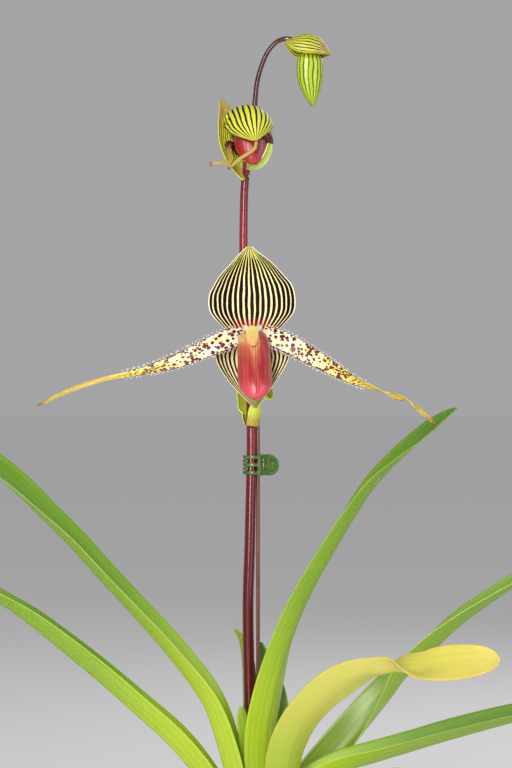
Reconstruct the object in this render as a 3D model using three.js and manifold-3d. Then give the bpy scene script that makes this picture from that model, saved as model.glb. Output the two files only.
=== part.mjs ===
// A potted slipper orchid: a fan of strap leaves in a clay pot, and a tall flower stem that carries
// one open flower, one opening flower and a bud, tied to a thin stake by a small claw clip.
// Millimetres, +Z up. The origin is the centre of the pot's flat base, and the viewer looks along +Y.

import * as THREE from 'three';
import { mergeVertices } from 'three/addons/utils/BufferGeometryUtils.js';
import Module from 'manifold-3d';

const wasm = await Module();
wasm.setup();

// Driving dimensions

const POT_HEIGHT = 148;
const POT_BASE_RADIUS = 54;
const POT_WAIST_RADIUS = 69;
const POT_RIM_RADIUS = 76;
const POT_RIM_HEIGHT = 28;
const POT_WALL = 5;
const POT_FLOOR = 8;
const DRAIN_RADIUS = 5;
const DRAIN_CIRCLE = 27;
const DRAIN_COUNT = 3;

const MEDIUM_TOP = 132;
const MEDIUM_RELIEF = 3.2;

const CROWN_PLACE = [3, -7];
const CROWN_FOOT = 120;
const CROWN_SHEATHS = 6;
const CROWN_GROOVE = 0.13;
const ROOT_RADIUS = 3.2;

const STEM_FOOT_RADIUS = 4.1;
const OVARY_RADIUS = 3.0;
const FLOWER_SEAT_RADIUS = 5.5;
const SECOND_SEAT_RADIUS = 3.6;

const STAKE_RADIUS = 1.35;
const STAKE_PLACE = [5.6, 4.2];
const STAKE_FOOT = 32;
const STAKE_TOP = 446;

const CLIP_HEIGHT = 411.6;
const CLAW_CENTRE = [2.4, 2.6];
const CLAW_INNER = [6.1, 4.7];
const CLAW_WALL = 1.5;
const TINE_HEIGHT = 2.4;
const TINE_PITCH = 5.5;
const HINGE_PLACE = [9.5, 2.6];
const PIN_RADIUS = 0.9;
const PIN_BORE_RADIUS = 1.0;
const LUG_RADIUS = 2.0;
const PAD_RADIUS = 7;
const PAD_THICKNESS = 1.6;
const PAD_ANGLE = 40;
const PAD_REACH = 6.8;
const RIB_COUNT = 5;
const RIB_PITCH = 32;
const RIB_RADIUS = 0.7;
const RIB_LENGTH = 3;
const TINE_START = 40;
const FRONT_TINE_END = 176;
const BACK_TINE_END = 238;

const LEAF_THICKNESS = 1.1;
const SEPAL_THICKNESS = 0.8;
const PETAL_THICKNESS = 0.8;
const POUCH_WALL = 0.9;
const POUCH_RIM_DIP = 3;
const CLEARANCE = 0.3;

// The places of leaves, petals and stem are read off a 512 by 768 picture taken from the front,
// 1500 mm away, on which one pixel at the depth of the stem is 0.7 mm.
const PIXEL = 0.7;
const VIEW_DISTANCE = 1500;
const VIEW_COLUMN = 256;
const VIEW_ROW = 384;
const VIEW_X = 4.2;
const VIEW_Z = 468.2;

// Every station is column, row and depth of the centreline, then half width in mm, then how far the
// upper face is turned to the viewer and how far each half is folded up, in degrees.

const LEAF_UPPER_LEFT = [
  [249, 838, -8, 9, 0, 62],
  [241, 797, -13, 16, 2, 56],
  [230, 748, -15, 18.5, 4, 54],
  [212, 698, -15, 18, 7, 50],
  [175, 648, -14, 17.5, 10, 44],
  [141, 610, -13, 17, 11, 40],
  [107, 573.5, -12, 17, 12, 38],
  [77, 540, -11, 17, 13, 36],
  [49, 512, -10, 17, 16, 32],
  [20, 483, -9, 17, 20, 27],
  [-10, 459, -8, 16, 24, 24],
  [-44, 440, -7, 14.5, 28, 22],
  [-78, 427, -6, 10, 30, 20],
  [-100, 421, -6, 1.2, 30, 18],
];

const LEAF_LOWER_LEFT = [
  [246, 842, -2, 8, 0, 66],
  [226, 803, -2, 15, 0, 62],
  [203, 768, -2, 18, 1, 60],
  [176, 736, -2, 18.5, 2, 58],
  [144.5, 708, -1, 18, 1, 57],
  [103.5, 672.5, 1, 17, 0, 56],
  [66, 642.5, 3, 16, 0, 54],
  [32, 616.5, 5, 14, 2, 52],
  [0, 596, 7, 11, 5, 48],
  [-40, 573, 9, 10, 9, 42],
  [-78, 557, 10, 7, 12, 36],
  [-108, 548, 11, 1.2, 14, 30],
];

const LEAF_SMALL = [
  [248, 832, -5, 5, -10, 50],
  [247, 790, -6.5, 6.6, -16, 42],
  [245, 750, -8, 7.6, -24, 38],
  [243, 727, -9, 8, -30, 34],
  [241.5, 714, -9.5, 7, -34, 32],
  [241, 706.5, -10, 2.8, -36, 30],
];

const LEAF_TALL = [
  [254, 840, -8, 8, -34, 52],
  [256, 800, -11, 14, -38, 40],
  [257.5, 768, -13, 16.5, -40, 28],
  [260, 732, -14, 18, -40, 22],
  [265, 704, -14, 18, -39, 20],
  [271, 677, -13, 17.5, -36, 20],
  [280, 644, -12, 17, -30, 22],
  [292.5, 611, -10, 17, -24, 25],
  [308, 580.5, -8, 16.5, -18, 28],
  [328, 546.5, -5, 16.5, -11, 31],
  [348, 515, -1, 16, -4, 32],
  [371, 482, 3, 15, 3, 31],
  [392.5, 458.5, 7, 14, 12, 26],
  [415, 437.5, 11, 13, 18, 17],
  [435, 421, 15, 10, 20, 15],
  [448, 412, 18, 5.5, 20, 14],
  [457, 407.5, 20, 1, 20, 12],
];

const LEAF_YELLOW = [
  [258, 842, -12, 8, -30, 56],
  [270, 808, -24, 13, -48, 34],
  [280, 780, -33, 14.5, -58, 20],
  [286, 750, -42, 15, -62, 15],
  [297, 725, -52, 15, -62, 14],
  [314, 703, -64, 15, -62, 14],
  [338, 683, -78, 15, -60, 15],
  [365, 668.5, -92, 14.8, -44, 26],
  [389, 663, -104, 14.5, -14, 44],
  [408, 663.5, -114, 14, 14, 44],
  [430, 662.5, -124, 13.4, 46, 26],
  [455, 661.5, -134, 12.6, 60, 14],
  [480, 660, -143, 10.6, 62, 13],
  [494, 661, -147, 6.8, 62, 12],
  [500, 662, -149, 2.2, 62, 12],
];

const LEAF_BEHIND = [
  [262, 838, 2, 8, 20, 60],
  [286, 806, 8, 15, 36, 48],
  [306, 777, 12, 17, 44, 41],
  [333, 745, 16, 18, 44, 40],
  [362, 712.5, 18, 19, 28, 40],
  [388, 684, 18, 20, 8, 40],
  [407, 663, 18, 19, -8, 38],
  [430, 641.5, 18, 18, -9, 36],
  [455, 621, 18, 16.6, -2, 34],
  [484, 600.5, 18, 15, 3, 31],
  [512, 582, 18, 13.5, 7, 28],
  [550, 561, 18, 10.5, 10, 26],
  [586, 546, 18, 6.5, 12, 24],
  [612, 538, 18, 1.2, 12, 22],
];

const LEAF_LOW_RIGHT = [
  [259, 842, -9, 8, 0, 66],
  [282, 808, -14, 14, 0, 62],
  [306, 781, -16, 16.5, 2, 58],
  [338, 763, -17, 17, 4, 52],
  [372, 753, -18, 17, 6, 46],
  [410, 742, -20, 16.5, 7, 43],
  [445, 731.5, -22, 16.5, 8, 41],
  [480, 722, -25, 16, 9, 39],
  [512, 714, -28, 15, 9, 37],
  [548, 706, -32, 12, 10, 34],
  [580, 700, -36, 7.5, 10, 30],
  [602, 697, -39, 1.2, 10, 28],
];

const LEAF_SHORT_RIGHT = [
  [256, 848, -12, 8, 4, 62],
  [286, 829, -20, 13, 8, 46],
  [318, 811, -26, 14, 14, 36],
  [352, 794, -31, 13.5, 18, 32],
  [382, 780, -35, 11, 20, 30],
  [396, 773.5, -37, 8, 20, 28],
  [403, 770.5, -38, 3, 20, 26],
];

const LEAF_REAR = [
  [256, 836, 8, 8, 20, 50],
  [266, 790, 14, 13, 46, 20],
  [272, 745, 18, 14.5, 52, 14],
  [274, 708, 20, 14, 52, 13],
  [270.5, 678, 20, 10.5, 48, 14],
  [264.5, 655, 19, 5.5, 42, 16],
  [260.5, 642, 18, 1.4, 38, 16],
];

const SHEATH = [
  [250.5, 752, 8.6, 5.5, 82, 58],
  [250.5, 725, 8.2, 5.6, 84, 58],
  [250, 692, 7.8, 5.6, 86, 56],
  [248.5, 662, 7.6, 5.0, 86, 50],
  [243.5, 642, 7.8, 3.0, 84, 30],
  [235.5, 629.5, 8.6, 1.2, 80, 12],
];

// Stem stations are column, row, depth and radius.
const STEM = [
  [250.5, 850, 2, 4.2],
  [249.8, 768, 2, STEM_FOOT_RADIUS],
  [249.5, 700, 2, 4.0],
  [248, 610, 2, 3.9],
  [249.7, 545, 2, 3.8],
  [251.3, 466, 2, 3.55],
  [251.5, 430, 2.2, 3.6],
  [250.4, 395, 5, 3.2],
  [248, 350, 8, 3.1],
  [243.8, 270, 8, 3.1],
  [243.8, 209, 6.5, 2.9],
  [245.5, 176, 6.5, 2.8],
  [250.5, 140, 10, 2.3],
  [254.5, 107, 10, 1.9],
  [256.5, 86, 8, 1.75],
  [260, 70.5, 6, 1.7],
  [267, 53, 4, 1.65],
  [276.5, 42, 2, 1.65],
  [287, 38.5, 0, 1.8],
  [297, 42.5, 0, 2.0],
  [305, 46.5, 0, 2.2],
  [309, 54, 0, 2.2],
];

const OVARY = [
  [251.4, 430, 2.2, 3.0],
  [251.8, 408, -2.5, OVARY_RADIUS],
  [252.4, 372, -5, 3.2],
  [252.2, 350, -8, 3.2],
  [252, 333, -13, 3.0],
];

const SECOND_OVARY = [
  [245.4, 181, 6.5, 2.4],
  [246, 170, 3.5, 2.6],
  [247, 157, 0, 2.4],
];

const FLOWER_SEAT = [252, 333, -13];
const SECOND_SEAT = [247, 157, 0];

const BRACT = [
  [257.6, 426.5, 4.6, 14.4, 150, 168],
  [258, 420, 4.7, 16.2, 144, 160],
  [257.7, 412, 5.8, 17.2, 130, 142],
  [254.8, 403, 9.4, 15.8, 98, 88],
  [255.6, 393.5, 10, 16.4, 94, 68],
  [259, 384.5, 10.4, 12, 90, 54],
  [262, 376, 10.6, 1.2, 90, 46],
];

const DORSAL_SEPAL = [
  [252, 335, -13, 15, 90, 22],
  [252, 330, -12.6, 19.4, 90, 26],
  [252, 324, -12, 25.2, 90, 34],
  [252, 315, -11, 31.8, 90, 42],
  [252, 305, -10, 33.7, 90, 46],
  [251.8, 292, -9.5, 32.8, 90, 48],
  [251, 279, -10, 27.6, 90, 46],
  [250.4, 266.5, -12, 20.2, 90, 42],
  [249.6, 255, -15.5, 10.7, 90, 38],
  [249.3, 246, -19.5, 1.2, 90, 34],
];

const LOWER_SEPAL = [
  [252, 335.5, -12.8, 12, 90, 16],
  [252.2, 344, -12.6, 22, 90, 18],
  [252.5, 355, -13, 27.4, 90, 34],
  [252.8, 367, -13.6, 26.4, 90, 48],
  [253.4, 380, -14.8, 20, 90, 46],
  [254.3, 392, -16.5, 12.4, 90, 42],
  [255, 401, -18.4, 6.2, 90, 38],
  [255.5, 408, -20.5, 1.2, 90, 34],
];

const PETAL_LEFT = [
  [248, 333, -16.5, 4, 84, 20],
  [237, 336.5, -20.5, 6.6, 82, 16],
  [223, 341, -24, 6.9, 80, 14],
  [200, 351, -27, 6.2, 78, 14],
  [177, 361, -28, 5.0, 76, 14],
  [147, 370, -28, 3.2, 70, 16],
  [128, 374, -27, 2.3, 66, 18],
  [108, 378, -26, 1.7, 70, 16],
  [86, 384.5, -26, 1.8, 84, 10],
  [68, 391, -25, 1.6, 78, 10],
  [52, 398.5, -24, 1.3, 70, 10],
  [37, 406, -23, 0.8, 66, 8],
];

const PETAL_RIGHT = [
  [256, 333, -16.5, 4, 84, 20],
  [267, 335.5, -20.5, 6.2, 82, 16],
  [283, 341, -24, 6.6, 80, 14],
  [300, 350, -26, 6.6, 78, 14],
  [317, 359.5, -26, 5.8, 76, 14],
  [335, 370, -25, 4.6, 72, 16],
  [353, 380, -23.5, 3.2, 66, 16],
  [369, 386.5, -21, 2.5, 40, 14],
  [381, 391, -19, 2.2, 8, 10],
  [396, 396.5, -16, 2.3, -72, 8],
  [407.5, 400.5, -13, 2.0, -172, 6],
  [419, 409, -11, 1.9, -238, 6],
  [428, 417, -10, 1.5, -250, 6],
  [435, 424, -9, 0.8, -256, 6],
];

const STAMINODE = [
  [252, 326.4, -16.6, 2.8, 90, -12],
  [252, 328, -21.5, 4.0, 90, -14],
  [252.2, 330.5, -27.5, 4.5, 90, -14],
  [252.4, 334, -33.5, 4.4, 90, -20],
  [252.7, 338, -38.4, 3.8, 90, -26],
  [252.9, 342.5, -41.4, 2.8, 90, -26],
  [253.1, 346, -42.8, 1.0, 90, -22],
];

// A pouch's rings are column, row and depth of the centre, then half width and half depth in mm.
const POUCH = [
  [252.7, 332, -26, 6.6, 5.2],
  [252.9, 335.2, -27.3, 9.0, 6.8],
  [253.2, 339.5, -29, 10.4, 8.0],
  [253.6, 346, -31, 11.0, 8.8],
  [254.3, 358, -35, 11.5, 9.8],
  [254.6, 371, -39.5, 11.8, 10.8],
  [255, 382, -43.5, 11.7, 10.8],
  [255.4, 390, -46.5, 9.8, 9.6],
  [255.6, 396, -49, 6.8, 6.8],
  [255.7, 399.8, -51, 2.4, 2.6],
];

const SECOND_POUCH = [
  [251, 134, -5.5, 10.6, 6.0],
  [251, 140, -5.8, 11.8, 6.6],
  [251.3, 148, -6.2, 11.4, 6.8],
  [252, 156, -7, 8.6, 6.2],
  [252.8, 162, -8, 4.8, 4.4],
  [253.3, 165, -8.6, 1.6, 1.6],
];

// The hood and the lower sepal of the second flower bend about the line across the picture, so
// their stations have no turn: column, row, depth, half width and fold.
const SECOND_HOOD = [
  [247, 155, 4.8, 5, 30],
  [246, 140, 6.4, 12, 56],
  [245.6, 124, 6.4, 19, 74],
  [246, 110, 3, 24, 84],
  [247.5, 105, -4, 25.5, 88],
  [249.5, 109.5, -12, 25.5, 88],
  [251.5, 120, -18, 22.5, 86],
  [253.5, 131, -21, 13.5, 78],
  [255, 140.5, -22.5, 1.0, 60],
];

const SECOND_LOWER_SEPAL = [
  [243, 163.5, 2.4, 3.2, 40, 30],
  [250, 166.3, -2.6, 3.6, 44, 34],
  [258.5, 164.8, -6, 3.8, 46, 36],
  [265.5, 158.6, -7, 3.6, 46, 36],
  [269.4, 149, -6.4, 3.2, 46, 34],
  [270.9, 139, -4.6, 2.2, 46, 30],
  [271.2, 131.5, -3, 0.9, 46, 26],
];

const SECOND_PETAL_LEFT = [
  [243.8, 157, 1.4, 2.0, 76, 10],
  [236.5, 150, 0, 2.8, 60, 10],
  [230, 143.5, -4, 3.0, 50, 10],
  [227.8, 146.5, -9.5, 2.8, 50, 10],
  [228.4, 153, -13, 2.2, 60, 10],
  [231, 159.5, -15.4, 1.6, 70, 8],
  [226.5, 163.2, -16.8, 1.4, 80, 8],
  [218, 162.7, -17.2, 1.2, 84, 8],
  [209.8, 164.6, -17, 1.6, 84, 8],
];

const SECOND_PETAL_RIGHT = [
  [250.4, 157.5, 1.4, 2.0, 76, 10],
  [262, 153, 1, 2.6, 66, 10],
  [269.4, 146, -4, 3.0, 54, 10],
  [269, 136.5, -10, 2.6, 54, 8],
  [262.5, 132.5, -15.5, 2.0, 66, 8],
  [256.6, 135.5, -18.8, 1.4, 80, 8],
  [256, 142, -20.4, 1.2, 84, 8],
  [254.8, 148, -20.4, 1.2, 84, 8],
  [249, 153, -19.6, 1.2, 84, 8],
  [239.5, 159, -18.6, 1.2, 84, 8],
  [228, 169.2, -17.4, 1.1, 84, 8],
];

const SECOND_BRACT = [
  [246.5, 178.5, 3.4, 3.6, 60, 60],
  [241.5, 171.5, 3.2, 5.4, 64, 56],
  [234.0, 158.5, 5.0, 6.8, 70, 48],
  [229.4, 143, 5.8, 7.8, 74, 42],
  [227.8, 127, 7.4, 7.4, 76, 36],
  [225.8, 112, 8, 5.4, 76, 30],
  [220.8, 99, 8, 1.0, 76, 24],
];

const TOP_BRACT = [
  [285.5, 41.5, 0, 4, 0, 70],
  [291, 44, 0, 12.5, 3, 96],
  [298, 45.5, 0, 20, 4, 108],
  [307, 46, 0, 22.5, 4, 112],
  [316, 48, 0, 20, 4, 108],
  [324, 51.5, 0, 12, 3, 96],
  [329, 53.4, 0, 4.6, 2, 80],
  [331.6, 53.6, 0, 1.0, 2, 70],
];

// The bud's rings are column, row and depth of the centre, then half width and half depth in mm.
const TOP_BUD = [
  [309, 50, 0, 3.2, 3.0],
  [309.1, 53.5, 0, 6.8, 5.8],
  [309.2, 60, 0, 8.9, 7.4],
  [309.3, 69, 0, 9.3, 7.6],
  [309.4, 78, 0, 8.9, 7.4],
  [310, 87, 0, 7.6, 6.4],
  [311, 96, 0, 5.0, 4.4],
  [312.2, 103, 0, 2.4, 2.2],
  [313, 107, 0, 0.6, 0.6],
];

// Roots run out from the crown inside the medium: heading in degrees, reach and drop in mm.
const ROOTS = [
  [20, 40, 70],
  [78, 34, 84],
  [140, 42, 66],
  [205, 38, 88],
  [262, 30, 74],
  [318, 41, 92],
];

// The crown's level rings are height, half width and half depth in mm.
const CROWN_RINGS = [
  [106, 9, 8],
  [114, 18, 14],
  [124, 26, 18],
  [136, 30, 20],
  [148, 29, 18.5],
  [158, 25.5, 15.5],
  [165, 19, 12],
  [169, 10, 8],
];

const COLOURS = {
  clay: 0xb8694a,
  bark: 0x6b4630,
  crown: 0xa9b84a,
  leaf: 0x8fbf2e,
  paleLeaf: 0xb4d83a,
  yellowLeaf: 0xe9e65a,
  stem: 0x7a1a22,
  sheath: 0x86a83a,
  stake: 0x7a4038,
  clip: 0x4f8f2f,
  steel: 0xb8bcc0,
  stripedSepal: 0xe6dc9a,
  petal: 0xe8cf8a,
  pouch: 0xb03038,
  staminode: 0xe8dc78,
  bract: 0xc8d850,
  bud: 0xc4d430,
};

const orchid = new THREE.Group();

function addPiece(name, geometry, colour, roughness = 0.5, metalness = 0) {
  const material = new THREE.MeshStandardMaterial({ color: colour, roughness, metalness });
  const mesh = new THREE.Mesh(geometry, material);
  mesh.name = name;
  orchid.add(mesh);
  return mesh;
}

// The point that the picture shows at a column and row, at a depth behind the stem's plane.
function seen(column, row, depth) {
  const scale = PIXEL * (1 + depth / VIEW_DISTANCE);
  const x = VIEW_X + (column - VIEW_COLUMN) * scale;
  const z = VIEW_Z - (row - VIEW_ROW) * scale;
  return new THREE.Vector3(x, depth, z);
}

function degrees(angle) {
  return THREE.MathUtils.degToRad(angle);
}

// The values part way between stations, on a Catmull-Rom curve through all of them.
function between(stations, place) {
  const last = stations.length - 1;
  const index = Math.min(Math.floor(place), last - 1);
  const t = place - index;
  const before = stations[Math.max(index - 1, 0)];
  const start = stations[index];
  const end = stations[index + 1];
  const after = stations[Math.min(index + 2, last)];
  return start.map((value, i) => {
    const slopeIn = (end[i] - before[i]) / 2;
    const slopeOut = (after[i] - value) / 2;
    const rise = end[i] - value;
    const square = 3 * rise - 2 * slopeIn - slopeOut;
    const cube = slopeIn + slopeOut - 2 * rise;
    return value + t * (slopeIn + t * (square + t * cube));
  });
}

// Stations at even distances along the line, with their places in space.
function evenStations(stations, steps) {
  const fine = 24 * (stations.length - 1);
  const rows = [];
  let length = 0;
  let previous = null;
  for (let i = 0; i <= fine; i += 1) {
    const values = between(stations, (i * (stations.length - 1)) / fine);
    const point = seen(values[0], values[1], values[2]);
    if (previous) {
      length += point.distanceTo(previous);
    }
    rows.push({ values, point, length });
    previous = point;
  }
  const even = [];
  let index = 0;
  for (let i = 0; i <= steps; i += 1) {
    const wanted = (length * i) / steps;
    while (index < fine && rows[index].length < wanted) {
      index += 1;
    }
    even.push(rows[index]);
  }
  return even;
}

function tangentAt(rows, i) {
  const ahead = rows[Math.min(i + 1, rows.length - 1)].point;
  const behind = rows[Math.max(i - 1, 0)].point;
  return ahead.clone().sub(behind).normalize();
}

// A geometry from points and triangles that share them.
function solidOf(points, triangles) {
  const geometry = new THREE.BufferGeometry();
  geometry.setAttribute('position', new THREE.Float32BufferAttribute(points.flat(), 3));
  geometry.setIndex(triangles.flat());
  return geometry;
}

// How high a half blade has risen at a place from its keel (0) to its margin (1): a soft keel makes
// a rounded trough, a sharp one a V.
function rise(place, softness) {
  const whole = Math.hypot(1, softness) - softness;
  return (Math.hypot(place, softness) - softness) / whole;
}

// The two directions of a leaf's or petal's section, seen from the front: across it, and out of its
// upper face. leaning is 1 where the upper side lies to the right of the way it grows, else -1.
function pictureAxes(tangent, turn, leaning) {
  const away = new THREE.Vector3(0, 1, 0);
  away.addScaledVector(tangent, -away.dot(tangent)).normalize();
  const upper = new THREE.Vector3().crossVectors(away, tangent).multiplyScalar(leaning);
  const cos = Math.cos(degrees(turn));
  const sin = Math.sin(degrees(turn));
  const across = away.clone().multiplyScalar(cos).addScaledVector(upper, sin);
  const out = upper.clone().multiplyScalar(cos).addScaledVector(away, -sin);
  return { across, out, upper };
}

// A place on half a blade's section, from the keel (0) to either margin (1 or -1). A rolled section
// is an arc that has turned by the fold at its margin; any other is a soft V.
function sectionPoint(place, halfWidth, fold, rolled, softness) {
  if (rolled) {
    const radius = halfWidth / fold;
    return [radius * Math.sin(fold * place), radius * (1 - Math.cos(fold * place))];
  }
  return [halfWidth * place * Math.cos(fold), halfWidth * rise(place, softness) * Math.sin(fold)];
}

// A closed thin blade along stations. Both faces are cut into the same triangles.
function blade(stations, shape) {
  const { steps, across: cells = 4, thickness, leaning = 1, softness = 0.3 } = shape;
  const { grow = 0, centred = true, crosswise = false, rolled = false } = shape;
  const rows = evenStations(stations, steps);
  const middle = rows.map((row, i) => {
    const tangent = tangentAt(rows, i);
    const [, , , halfWidth] = row.values;
    const turn = crosswise ? 0 : row.values[4];
    const fold = degrees(crosswise ? row.values[4] : row.values[5]);
    let axes = pictureAxes(tangent, turn, leaning);
    if (crosswise) {
      const side = new THREE.Vector3(1, 0, 0);
      side.addScaledVector(tangent, -side.dot(tangent)).normalize();
      axes = { across: side, out: new THREE.Vector3().crossVectors(side, tangent) };
    }
    const section = [];
    for (let j = 0; j <= cells; j += 1) {
      const place = (2 * j) / cells - 1;
      section.push(sectionPoint(place, halfWidth + grow, fold, rolled, softness));
    }
    let shift = 0;
    if (centred && !crosswise) {
      const sin = Math.sin(degrees(turn));
      const cos = Math.cos(degrees(turn));
      const heights = section.map(([sideways, up]) => sideways * sin + up * cos);
      shift = -(Math.max(...heights) + Math.min(...heights)) / 2;
    }
    return section.map(([sideways, up]) => {
      const point = row.point.clone();
      point.addScaledVector(axes.across, sideways).addScaledVector(axes.out, up);
      return axes.upper ? point.addScaledVector(axes.upper, shift) : point;
    });
  });
  return thicken(middle, thickness / 2 + grow);
}

// A closed plate about a grid of points, half a thickness to each side of it.
function thicken(middle, half) {
  const rowCount = middle.length;
  const columnCount = middle[0].length;
  const normals = middle.map((row, i) => row.map((_, j) => {
    const ahead = middle[Math.min(i + 1, rowCount - 1)][j];
    const behind = middle[Math.max(i - 1, 0)][j];
    const right = row[Math.min(j + 1, columnCount - 1)];
    const left = row[Math.max(j - 1, 0)];
    const along = ahead.clone().sub(behind);
    const over = right.clone().sub(left);
    return along.cross(over).normalize();
  }));
  const points = [];
  for (const side of [1, -1]) {
    middle.forEach((row, i) => row.forEach((point, j) => {
      points.push(point.clone().addScaledVector(normals[i][j], side * half).toArray());
    }));
  }
  const top = (i, j) => i * columnCount + j;
  const bottom = (i, j) => rowCount * columnCount + top(i, j);
  const triangles = [];
  for (let i = 0; i < rowCount - 1; i += 1) {
    for (let j = 0; j < columnCount - 1; j += 1) {
      triangles.push([top(i, j), top(i + 1, j), top(i + 1, j + 1)]);
      triangles.push([top(i, j), top(i + 1, j + 1), top(i, j + 1)]);
      triangles.push([bottom(i, j), bottom(i + 1, j + 1), bottom(i + 1, j)]);
      triangles.push([bottom(i, j), bottom(i, j + 1), bottom(i + 1, j + 1)]);
    }
    const end = columnCount - 1;
    triangles.push([top(i, 0), bottom(i, 0), bottom(i + 1, 0)]);
    triangles.push([top(i, 0), bottom(i + 1, 0), top(i + 1, 0)]);
    triangles.push([top(i, end), bottom(i + 1, end), bottom(i, end)]);
    triangles.push([top(i, end), top(i + 1, end), bottom(i + 1, end)]);
  }
  const last = rowCount - 1;
  for (let j = 0; j < columnCount - 1; j += 1) {
    triangles.push([top(0, j), bottom(0, j + 1), bottom(0, j)]);
    triangles.push([top(0, j), top(0, j + 1), bottom(0, j + 1)]);
    triangles.push([top(last, j), bottom(last, j), bottom(last, j + 1)]);
    triangles.push([top(last, j), bottom(last, j + 1), top(last, j + 1)]);
  }
  return solidOf(points, triangles);
}

// A closed body through rings of points, each end closed by a fan about its centre.
function loft(rings) {
  const count = rings[0].length;
  const points = rings.flat().map((point) => point.toArray());
  const triangles = [];
  for (let i = 0; i < rings.length - 1; i += 1) {
    for (let j = 0; j < count; j += 1) {
      const next = (j + 1) % count;
      const a = i * count + j;
      const b = i * count + next;
      triangles.push([a, b, b + count]);
      triangles.push([a, b + count, a + count]);
    }
  }
  for (const [index, flip] of [[0, true], [rings.length - 1, false]]) {
    const centre = new THREE.Vector3();
    rings[index].forEach((point) => centre.addScaledVector(point, 1 / count));
    points.push(centre.toArray());
    for (let j = 0; j < count; j += 1) {
      const a = index * count + j;
      const b = index * count + ((j + 1) % count);
      triangles.push(flip ? [b, a, points.length - 1] : [a, b, points.length - 1]);
    }
  }
  return solidOf(points, triangles);
}

// A round stem whose radius changes along stations of column, row, depth and radius, with two
// rings to a station so that tight bends get more of them.
function stalk(stations, sides, grow = 0) {
  const rows = [];
  for (let i = 0; i <= 2 * (stations.length - 1); i += 1) {
    const values = between(stations, i / 2);
    rows.push({ values, point: seen(values[0], values[1], values[2]) });
  }
  const rings = rows.map((row, i) => {
    const tangent = tangentAt(rows, i);
    const side = new THREE.Vector3(0, 1, 0);
    side.addScaledVector(tangent, -side.dot(tangent)).normalize();
    const other = new THREE.Vector3().crossVectors(tangent, side);
    const radius = row.values[3] + grow;
    const ring = [];
    for (let j = 0; j < sides; j += 1) {
      const angle = (2 * Math.PI * j) / sides;
      const point = row.point.clone().addScaledVector(side, radius * Math.cos(angle));
      ring.push(point.addScaledVector(other, radius * Math.sin(angle)));
    }
    return ring;
  });
  return loft(rings);
}

// One level ring of a pouch or bud, drawn in by a wall's thickness.
function levelRing([column, row, depth, halfWidth, halfDepth], sides, inset = 0) {
  const centre = seen(column, row, depth);
  const ring = [];
  for (let j = 0; j < sides; j += 1) {
    const angle = (2 * Math.PI * j) / sides;
    const x = centre.x + (halfWidth - inset) * Math.cos(angle);
    const y = centre.y + (halfDepth - inset) * Math.sin(angle);
    ring.push(new THREE.Vector3(x, y, centre.z));
  }
  return ring;
}

// An open pouch: up its outside from the toe, over the rim and down its inside, which stands one
// wall above the outside. The front of the rim dips, and the dip fades out down the wall.
function pouch(rings, sides, wall, dip) {
  const face = (inset, lift) => rings.map((row, i) => levelRing(row, sides, inset).map((point, j) => {
    const frontness = Math.max(0, -Math.sin((2 * Math.PI * j) / sides));
    const drop = (dip * frontness ** 2) / (1 + i * i);
    return point.setZ(point.z - drop + (i === 0 ? 0 : lift));
  }));
  const outside = face(0, 0);
  const inside = face(wall, wall).slice(0, -1);
  return loft([...outside.reverse(), ...inside]);
}

// A closed bud through its rings, from the tip up.
function bud(rings, sides) {
  return loft(rings.map((ring) => levelRing(ring, sides)).reverse());
}

function toManifold(geometry) {
  const bare = geometry.clone();
  bare.deleteAttribute('normal');
  bare.deleteAttribute('uv');
  const merged = mergeVertices(bare, 1e-4);
  const vertProperties = new Float32Array(merged.attributes.position.array);
  const triVerts = new Uint32Array(merged.index.array);
  return new wasm.Manifold(new wasm.Mesh({ numProp: 3, vertProperties, triVerts }));
}

function toGeometry(manifold) {
  const mesh = manifold.getMesh();
  const geometry = new THREE.BufferGeometry();
  const position = new THREE.Float32BufferAttribute(mesh.vertProperties, 3);
  geometry.setAttribute('position', position);
  geometry.setIndex(new THREE.BufferAttribute(mesh.triVerts, 1));
  return geometry;
}

function join(geometries) {
  const whole = geometries.map(toManifold).reduce((sum, next) => sum.add(next));
  return toGeometry(whole);
}

// The geometry with other bodies cut away. Only its largest piece is kept.
function cutBack(geometry, others) {
  const rest = others.map(toManifold).reduce((sum, next) => sum.subtract(next), toManifold(geometry));
  const pieces = rest.decompose();
  pieces.sort((a, b) => b.volume() - a.volume());
  return toGeometry(pieces[0]);
}

function ball(centre, radii, widthSegments = 18, heightSegments = 10) {
  const geometry = new THREE.SphereGeometry(1, widthSegments, heightSegments);
  geometry.scale(radii[0], radii[1], radii[2]);
  geometry.translate(centre[0], centre[1], centre[2]);
  return geometry;
}

function cylinder(x, y, low, high, radius, sides = 16) {
  const geometry = new THREE.CylinderGeometry(radius, radius, high - low, sides);
  geometry.rotateX(Math.PI / 2);
  geometry.translate(x, y, (low + high) / 2);
  return geometry;
}

// Pot

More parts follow.
